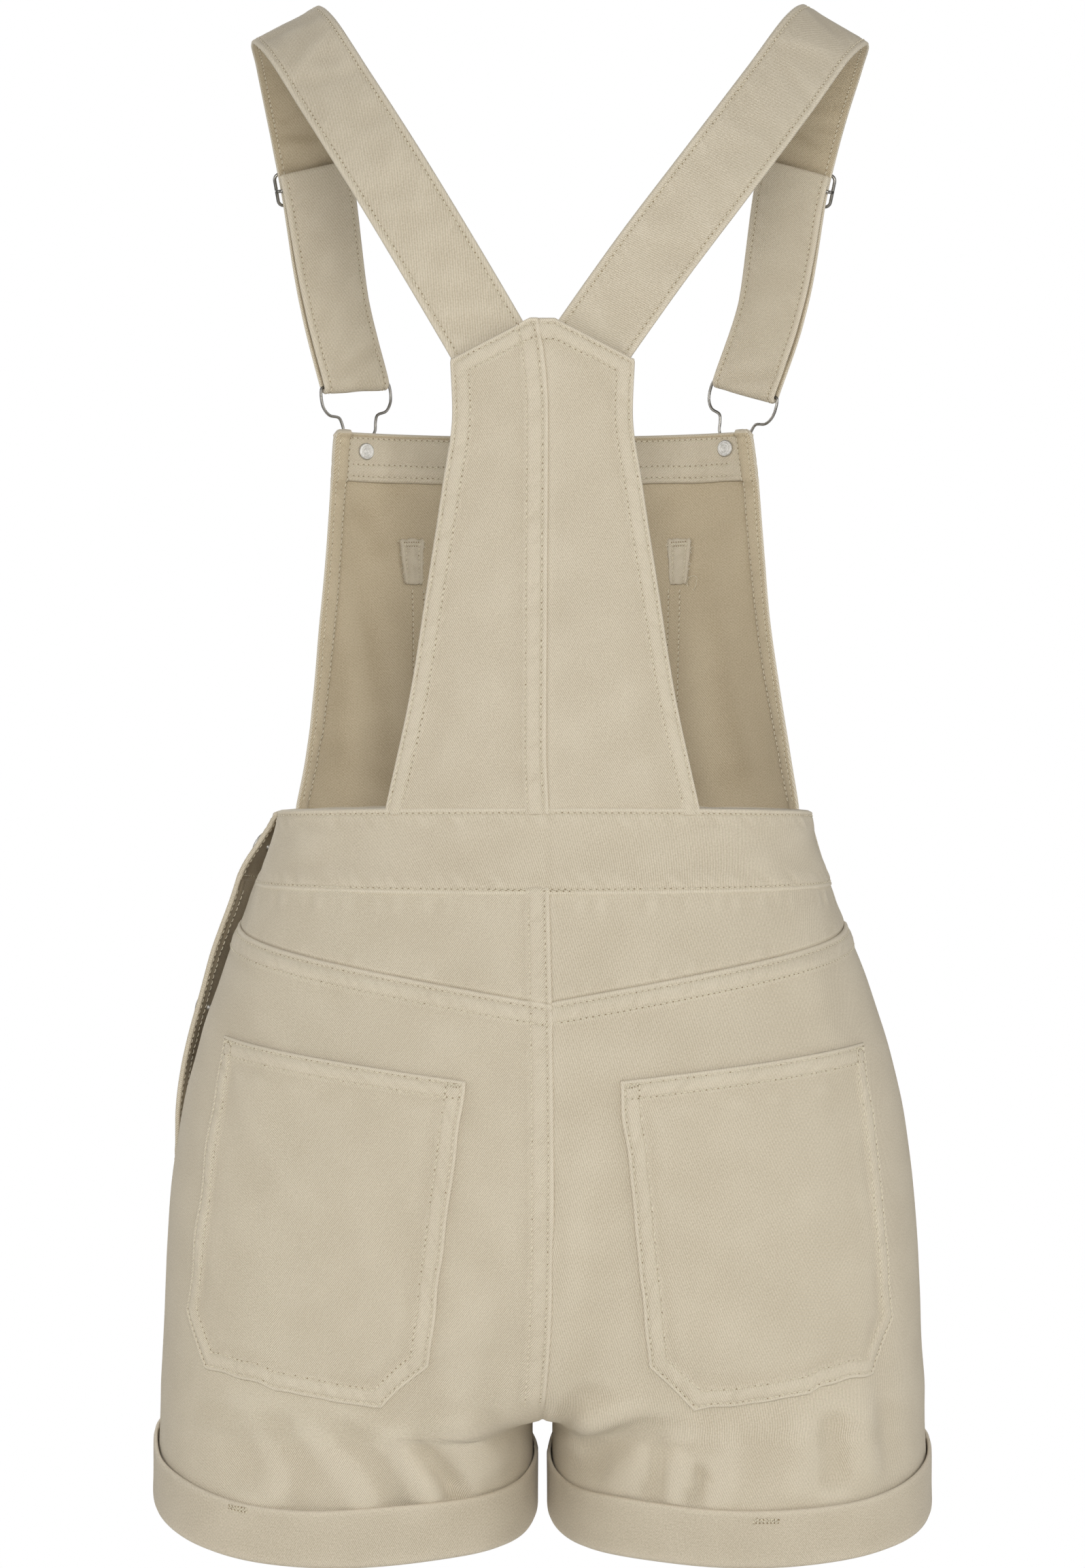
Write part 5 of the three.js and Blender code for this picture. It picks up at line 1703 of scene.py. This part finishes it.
# Cross creases of each strap: place along it, slant, depth, width, and where across it
strapCreases = {
    1: [(28, 8, -0.7, 6, 4), (66, -7, -0.55, 7, -6), (104, 9, -0.5, 6, 8), (146, -6, -0.5, 6, 0),
        (184, 7, -0.6, 5, -5), (205, -9, 0.5, 5, 5), (236, 6, -0.6, 5, 3), (262, -7, -0.5, 6, -4),
        (334, 6, -0.6, 4, -7), (346, -5, 0.5, 4, 6), (372, 7, -0.5, 5, 4), (470, 6, -0.6, 4, 5),
        (500, -7, -0.6, 4, -4), (455, -5, 0.5, 4, -6)],
    -1: [(36, -8, -0.6, 6, -4), (74, 7, -0.6, 7, 5), (118, -8, -0.5, 6, -7), (158, 6, -0.55, 6, 2),
         (196, -7, -0.6, 5, 5), (221, 8, 0.5, 5, -5), (250, -6, -0.6, 5, -2), (283, 7, -0.5, 6, 6),
         (346, -6, -0.6, 4, 6), (358, 5, 0.5, 4, -5), (386, -6, -0.5, 5, -3), (484, -6, -0.6, 4, -4),
         (512, 7, -0.6, 4, 4), (468, 6, 0.5, 4, 5)],
}
wireRadius = 1.0
layerGap = 0.5
shankGap = 0.3  # between a hook's wire and the shank and head of its button
sliderIndex = len(strapStations) - 1
barIndex = sliderIndex + 2


def onePoint(side, hand, s, level, lift):
    point, normal = onForm(side, hand, s, level)
    return point + normal * lift, normal


def hookFrame(hand):
    end = strapEnds[hand]
    lift = layerGap + wireRadius
    bar, _ = onePoint(-1, hand, end["s"], end["level"], lift)
    button, out = onePoint(-1, hand, end["buttonS"], end["buttonLevel"], lift)
    down = unit(button - bar)
    across = unit(np.cross(down, out))
    return {"bar": bar, "button": button, "down": down, "across": across,
            "out": unit(np.cross(across, down))}


# A smooth curve through all the stations, with the pull of each span set by its length
def throughPoints(points, t):
    points = np.asarray(points, float)
    last = len(points) - 1
    k = min(int(t), last - 1)
    f = t - k
    p1, p2 = points[k], points[k + 1]
    p0 = points[k - 1] if k > 0 else 2 * p1 - p2
    p3 = points[k + 2] if k + 2 <= last else 2 * p2 - p1
    d0, d1, d2 = (max(np.linalg.norm(b - a) ** 0.5, 1e-4) for a, b in ((p0, p1), (p1, p2), (p2, p3)))
    t1 = ((p1 - p0) / d0 - (p2 - p0) / (d0 + d1) + (p2 - p1) / d1) * d1
    t2 = ((p2 - p1) / d1 - (p3 - p1) / (d1 + d2) + (p3 - p2) / d2) * d1
    c2 = -3 * p1 + 3 * p2 - 2 * t1 - t2
    c3 = 2 * p1 - 2 * p2 + t1 + t2
    return p1 + t1 * f + c2 * f * f + c3 * f**3, t1 + 2 * c2 * f + 3 * c3 * f * f


def strapFrames(hand):
    hook = hookFrame(hand)
    column = 2 if hand > 0 else 4
    points = [np.array([hand * row[column], row[1], row[0]], float) for row in strapStations]
    above = hook["bar"] - hook["down"] * strapLook["aboveHook"]
    above[0] = hand * strapEnds[hand]["above"]
    points += [above, hook["bar"]]
    widths = []
    for row in strapStations:
        lean = math.radians(row[column + 1])
        widths.append(np.array([hand * math.cos(lean), 0, -math.sin(lean)]))
    barWidth = hook["across"] * np.sign(hook["across"][0]) * hand
    widths[sliderIndex] = unit((widths[sliderIndex] + barWidth) / 2)
    widths += [barWidth, barWidth]
    steps = 24
    frames = []
    for i in range(barIndex * steps + 1):
        station = i / steps
        low = min(int(station), barIndex - 1)
        at, along = throughPoints(points, station)
        along = unit(along)
        across = mix(widths[low], widths[low + 1], station - low)
        across = unit(across - along * np.dot(across, along))
        out = unit(np.cross(along, across) * hand)
        frames.append((at, across, out, station))
    at, _, _, station = frames[-1]
    frames[-1] = (at, barWidth, hook["out"], station)
    return frames, hook


def strapPath(hand):
    frames, hook = strapFrames(hand)
    half = strapLook["loopHalf"]
    loop = []
    for at, across, out, station in frames:
        shift = half * float(ease((station - sliderIndex + 1) / 0.6))
        loop.append((at + out * shift, across, out))
    at, across, out, _ = frames[-1]
    for k in range(1, 16):
        angle = math.pi * k / 16
        spoke = out * math.cos(angle) + hook["down"] * math.sin(angle)
        loop.append((at + spoke * half, across, spoke))
    for at, across, out, station in reversed(frames):
        if station >= sliderIndex - 0.21:
            loop.append((at - out * half, across, -out))
    return [np.array(part) for part in zip(*loop)]


def makeStrap(hand):
    name = "Left" if hand > 0 else "Right"
    at, across, out = strapPath(hand)
    run = np.concatenate([[0], np.cumsum(np.linalg.norm(np.diff(at, axis=0), axis=1))])
    length = run[-1]
    half = strapLook["width"] / 2

    def follow(table, l):
        return np.stack([np.interp(l, run, table[:, k]) for k in range(3)], -1)

    def place(w, l):
        w, l = np.broadcast_arrays(np.asarray(w, float), np.asarray(l, float))
        normal = unit(follow(out, l))
        return follow(at, l) + unit(follow(across, l)) * w[..., None], normal

    def soft(w, l):
        bend = np.zeros(np.shape(w))
        for where, slant, depth, width, centre in strapCreases[hand]:
            away = l - where - slant * w / half
            # Creases are deeper where the strap hangs in front
            deep = depth * (1 + strapLook["hungDeeper"] * ease((where - strapLook["hungFrom"]) / 10))
            bend = bend + deep * bell(away / width) * bell((w - centre) / 15)
        near = ease((length - 12 - l) / 10)
        return (bend + 0.25 * unevenFace(w, l, 111 + hand, 26)) * near

    def lift(w, l):
        edge = half - np.abs(w)
        height = 1.1 + soft(w, l) * ease((edge + 3) / 7)
        pull = -0.32 * (1 + 0.3 * unevenLine(l, 113 + hand, 8)) * bell((edge - strapLook["row"]) / 0.8)
        height = height + pull + 0.16 * bell((edge - 6) / 3) * unevenLine(l + 0.6 * w, 115 + hand, 9)
        return height - 0.25 * (1 - ease((edge + 0.3) / 1.0))

    def wall(w, l):
        edge = half - np.abs(w)
        thick = strapLook["wall"] - 0.5 * bell((edge - strapLook["row"]) / 0.8)
        return thick - 0.3 * (1 - ease((edge + 0.3) / 1.0))

    row = strapLook["row"]
    wide = spaced(2 * half, strapLook["cell"], (0, row, 2 * half - row, 2 * half), 0.75) - half
    down = spaced(length, 1.9, (), 1.0)
    w, l = np.meshgrid(wide, down)
    point, normal = place(w, l)
    edge = half - np.abs(w)
    piece = clothShell(f"strap{name}", point, normal, lift(w, l), wall(w, l),
                       np.stack([w * hand, -l], -1), wearAndShade=bell(edge / 1.1))
    places = np.linspace(3, length - 2.5, 700)
    threads = []
    for inside in (False, True):
        for sign in (-1, 1):
            threads.append(rowOn(place, lift, wall, sign * (half - row), places, inside))
    finishCloth(piece, [f"strap_{name.lower()}"], [threadMesh(f"threadStrap{name}", threads)])


for hand in (1, -1):
    makeStrap(hand)


# Metal pieces

def smoothLoop(path, steps):
    lap = np.concatenate([path[-2:], path, path[:3]])
    return np.array([throughPoints(lap, 2 + k / steps)[0] for k in range(len(path) * steps)])


hookLook = {
    "wire": 0.8, "shank": 1.5, "slotHalf": 3.9,
    "outline": [(0, 0), (14, 0), (19.7, 0), (20.7, -1), (20.7, -10), (17.4, -15), (11.8, -16.8),
                (10.2, -20.5), (9.4, -25), (6.4, -29.5), (4.2, -33)],
}


def finishMetal(piece, node):
    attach(piece, "root")
    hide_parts(node)
    print(piece.name, "made")


def makeHook(hand):
    frameOf = hookFrame(hand)
    drop = np.linalg.norm(frameOf["bar"] - frameOf["button"]) + hookLook["shank"] + shankGap + wireRadius
    slot = hookLook["slotHalf"]
    half = [*hookLook["outline"], (slot, -(drop - slot))]
    half += [(slot * math.cos(math.pi / 2 * k / 5), -(drop - slot) - slot * math.sin(math.pi / 2 * k / 5))
             for k in range(1, 5)]
    outline = [*half, (0, -drop), *[(-x, y) for x, y in half[:0:-1]]]
    path = np.array([frameOf["bar"] + frameOf["across"] * x - frameOf["down"] * y for x, y in outline])
    path = smoothLoop(path, 5)
    points, quads = wirePoints(path, hookLook["wire"], True)
    name = "Left" if hand > 0 else "Right"
    # Two small flattened ends of the wire meet in the middle of the bar inside the loop
    collar = [frameOf["bar"] + frameOf["across"] * x for x in np.linspace(-3.2, 3.2, 9)]
    sleeve = wirePoints(collar, hookLook["wire"] * 1.22, False)
    piece = joinedMesh(f"hook{name}", [(points, quads), sleeve], gunmetalWire)
    finishMetal(piece, f"hook_{name.lower()}")


sliderLook = {"width": 43, "height": 17, "corner": 3, "wire": 0.9}


def makeSlider(hand):
    frames, _ = strapFrames(hand)
    at, across, out, _ = next(frame for frame in frames if frame[3] == sliderIndex)
    along = unit(np.cross(across, out))
    frameOut = strapLook["loopHalf"] + strapLook["wall"] / 2 + layerGap + wireRadius
    width = sliderLook["width"]
    height = sliderLook["height"]
    corner = sliderLook["corner"]

    def spot(x, y, z):
        return at + across * x + along * y + out * z

    loop = []
    for quarter in range(4):
        x = 1 if quarter in (0, 3) else -1
        y = 1 if quarter < 2 else -1
        for k in range(7):
            angle = math.pi / 2 * (quarter + k / 6)
            loop.append(spot(x * (width / 2 - corner) + corner * math.cos(angle),
                             y * (height / 2 - corner) + corner * math.sin(angle), frameOut))
    dip = [(1, frameOut), (1, 3.4), (0.995, 1.5), (0.97, 0.4), (0.93, 0)]
    bar = [spot(x * width / 2, 0, z) for x, z in dip]
    bar += [spot(x * width / 2, 0, 0) for x in np.linspace(0.8, -0.8, 9)]
    bar += [spot(-x * width / 2, 0, z) for x, z in reversed(dip)]
    ring = wirePoints(np.array(loop), sliderLook["wire"], True)
    rod = wirePoints(np.array(bar), sliderLook["wire"], False)
    name = "Left" if hand > 0 else "Right"
    piece = joinedMesh(f"slider{name}", [ring, rod], gunmetalWire)
    finishMetal(piece, f"slider_{name.lower()}")


# A round metal piece turned from a profile of (radius, height) about an outward axis
def turnedPoints(profile, point, outward, sides=40):
    profile = np.asarray(profile, float)
    first = unit(np.cross(outward, [0.3, 0.2, 0.93]))
    second = np.cross(outward, first)
    turn = 2 * math.pi * np.arange(sides) / sides
    ring = first * np.cos(turn)[:, None] + second * np.sin(turn)[:, None]
    points = point + outward * profile[:, 1, None, None] + ring * profile[:, 0, None, None]
    index = np.arange(len(profile) * sides).reshape(len(profile), sides)
    after = np.roll(index, -1, axis=1)
    quads = np.stack([index[:-1], after[:-1], after[1:], index[1:]], -1).reshape(-1, 4)
    points = points.reshape(-1, 3)
    middle = len(quads) // 2
    centre = points[index[middle // sides]].mean(0)
    quads = turnedOut(points, quads, middle, points[quads[middle]].mean(0) - centre)
    caps = []
    for rim, sign in ((index[0], 1), (index[-1], -1)):
        half = sides // 2
        far = (rim[sides - 2:half - 1:-1], rim[sides - 1:half:-1])
        strip = np.stack([rim[:half - 1], rim[1:half], *far], -1)
        caps.append(turnedOut(points, strip, half // 2, outward * (-1 if sign > 0 else 1)))
    return points, np.concatenate([quads, *caps])


buttonLook = {"head": 8.5, "headThick": 1.7, "back": 4.5, "backThick": 1.0, "shank": 1.5}


def buttonProfile(head, headThick, headFrom, backFrom):
    back = buttonLook["back"]
    rise = buttonLook["backThick"]
    low = backFrom - rise
    shank = buttonLook["shank"]
    top = headFrom + headThick
    return [
        (0.2, low - 0.08), (0.5, low - 0.06), (0.75, low + 0.1), (1.05, low + 0.1), (1.3, low - 0.04),
        (1.6, low - 0.04), (1.85, low + 0.1), (2.15, low + 0.1), (2.4, low - 0.03), (2.75, low - 0.03),
        (3.0, low + 0.1), (3.3, low + 0.1), (3.55, low - 0.05), (4.1, low - 0.02), (back, low + 0.3),
        (back, backFrom - 0.1), (back - 0.2, backFrom), (shank, backFrom), (shank, headFrom),
        (head - 0.5, headFrom), (head, headFrom + 0.5), (head, headFrom + headThick * 0.55),
        (head - 0.4, top - 0.35), (head - 1.0, top), (head - 1.7, top - 0.1), (head - 2.1, top - 0.45),
        (head - 2.6, top - 0.5), (head * 0.45, top - 0.42), (head * 0.2, top - 0.38), (0.25, top - 0.36),
    ]


def makeBibButton(hand):
    end = strapEnds[hand]
    point, outward = onForm(-1, hand, end["buttonS"], end["buttonLevel"])
    headFrom = layerGap + 2 * wireRadius + shankGap
    backFrom = -3.4
    profile = buttonProfile(buttonLook["head"], buttonLook["headThick"], headFrom, backFrom)
    name = "Left" if hand > 0 else "Right"
    piece = joinedMesh(f"bibButton{name}", [turnedPoints(profile, point, outward)], paleTack)
    finishMetal(piece, f"bib_button_{name.lower()}")


for hand in (1, -1):
    makeHook(hand)
    makeSlider(hand)
    makeBibButton(hand)


# The two buttons that close the side opening, square to the front edge as it stands
sideButtonLook = {"head": 7.0, "headThick": 2.2, "fromEdge": 18}
sideButtons = [
    {"name": "Waist", "level": -427, "proud": 0.6, "wall": 1.8},
    {"name": "Placket", "level": -511, "proud": 0.0, "wall": 1.4},
]


def makeSideButton(look):
    def spot(s, level):
        point, normal = onForm(-1, 1, s, level)
        return point + normal * (look["proud"] + openingLift(level, sideFront(level) - s))

    level = look["level"]
    fromEdge = sideButtonLook["fromEdge"]
    s = sideFront(level) - fromEdge
    toEdge = spot(s + 2, level) - spot(s - 2, level)
    up = spot(s, level + 2) - spot(s, level - 2)
    outward = unit(np.cross(toEdge, up))
    backFrom = -(openingLift(level, fromEdge) + look["proud"] + look["wall"] + 3 * layerGap)
    head = sideButtonLook["head"]
    profile = buttonProfile(head, sideButtonLook["headThick"], 2 * layerGap, float(backFrom))
    turned = turnedPoints(profile, spot(s, level), outward)
    piece = joinedMesh(f"sideButton{look['name']}", [turned], paleTack)
    finishMetal(piece, f"side_button_{look['name'].lower()}")


for look in sideButtons:
    makeSideButton(look)


# Stage: a pale floor where the wearer would stand, soft light and the camera of the photo
stageLook = {
    "floor": -1.35, "floorHalf": 2.2, "floorColour": "#F4F3F0", "backdrop": (1.0, 1.0, 1.0, 1.0),
    "fillLow": 0.04, "fillHigh": 0.29, "fillFrom": (0.0, 0.75, 0.65),
}


def makeFloor():
    half = stageLook["floorHalf"]
    count = 9
    steps = np.linspace(-half, half, count)
    x, y = np.meshgrid(steps, steps)
    points = np.stack([x, y, np.full(x.shape, stageLook["floor"])], -1).reshape(-1, 3) / millimetre
    index = np.arange(count * count).reshape(count, count)
    quads = np.stack([index[:-1, :-1], index[:-1, 1:], index[1:, 1:], index[1:, :-1]], -1).reshape(-1, 4)
    material, _, _ = newMaterial("matt white paper", **{
        "Base Color": hexColour(stageLook["floorColour"]), "Roughness": 0.95})
    floor = makeMesh("floor", points, quads, [material])


def makeWorld():
    world = bpy.data.worlds.new("white studio")
    bpy.context.scene.world = world
    world.use_nodes = True
    tree = world.node_tree
    tree.nodes.clear()
    seen = addNode(tree, "ShaderNodeBackground", {"Color": stageLook["backdrop"], "Strength": 1.0})
    place = addNode(tree, "ShaderNodeTexCoord")
    toCamera = addNode(tree, "ShaderNodeVectorMath", {
        0: place.outputs["Generated"], 1: stageLook["fillFrom"]}, operation="DOT_PRODUCT")
    strength = addNode(tree, "ShaderNodeMapRange", {
        "Value": toCamera.outputs["Value"], "From Min": -1.0, "From Max": 1.0,
        "To Min": stageLook["fillLow"], "To Max": stageLook["fillHigh"]})
    light = addNode(tree, "ShaderNodeBackground", {"Strength": strength.outputs["Result"]})
    rays = addNode(tree, "ShaderNodeLightPath")
    either = addNode(tree, "ShaderNodeMixShader", {
        0: rays.outputs["Is Camera Ray"], 1: light.outputs[0], 2: seen.outputs[0]})
    output = addNode(tree, "ShaderNodeOutputWorld")
    tree.links.new(either.outputs[0], output.inputs["Surface"])


softLights = [
    {"name": "keyBox", "at": (-0.1, 2.6, 0.0), "size": 0.85, "power": 36},
    {"name": "leftBox", "at": (2.3, 0.7, 0.1), "size": 1.2, "power": 17},
    {"name": "rightBox", "at": (-2.3, 0.7, 0.1), "size": 1.2, "power": 18},
    {"name": "topBox", "at": (0.0, 1.4, 1.5), "size": 1.2, "power": 2},
    {"name": "frontBox", "at": (0.5, -2.2, 0.6), "size": 1.6, "power": 44},
]
lightTarget = np.array([0, 0, -0.4])


def makeLight(look):
    data = bpy.data.lights.new(look["name"], "AREA")
    data.shape = "SQUARE"
    data.size = look["size"]
    data.energy = look["power"]
    lamp = bpy.data.objects.new(look["name"], data)
    bpy.context.scene.collection.objects.link(lamp)
    lamp.location = look["at"]
    away = unit(np.array(look["at"]) - lightTarget)
    azimuth = math.atan2(away[1], away[0])
    lamp.rotation_euler = (math.acos(away[2]), 0, azimuth + math.pi / 2)


# The photo's focal length is 5424 pixels where it has 2306 rows
cameraLook = {"at": (0, 1.9, -0.394), "sensor": 36.0, "focalPixels": 5424, "pixelRows": 2306}


def makeCamera():
    data = bpy.data.cameras.new("camera")
    data.sensor_width = cameraLook["sensor"]
    data.lens = cameraLook["sensor"] * cameraLook["focalPixels"] / cameraLook["pixelRows"]
    camera = bpy.data.objects.new("camera", data)
    bpy.context.scene.collection.objects.link(camera)
    camera.location = cameraLook["at"]
    camera.rotation_euler = (math.pi / 2, 0, math.pi)
    bpy.context.scene.camera = camera


makeFloor()
makeWorld()
for look in softLights:
    makeLight(look)
makeCamera()
bpy.context.scene.view_settings.view_transform = "Standard"
print("stage, light and camera made")
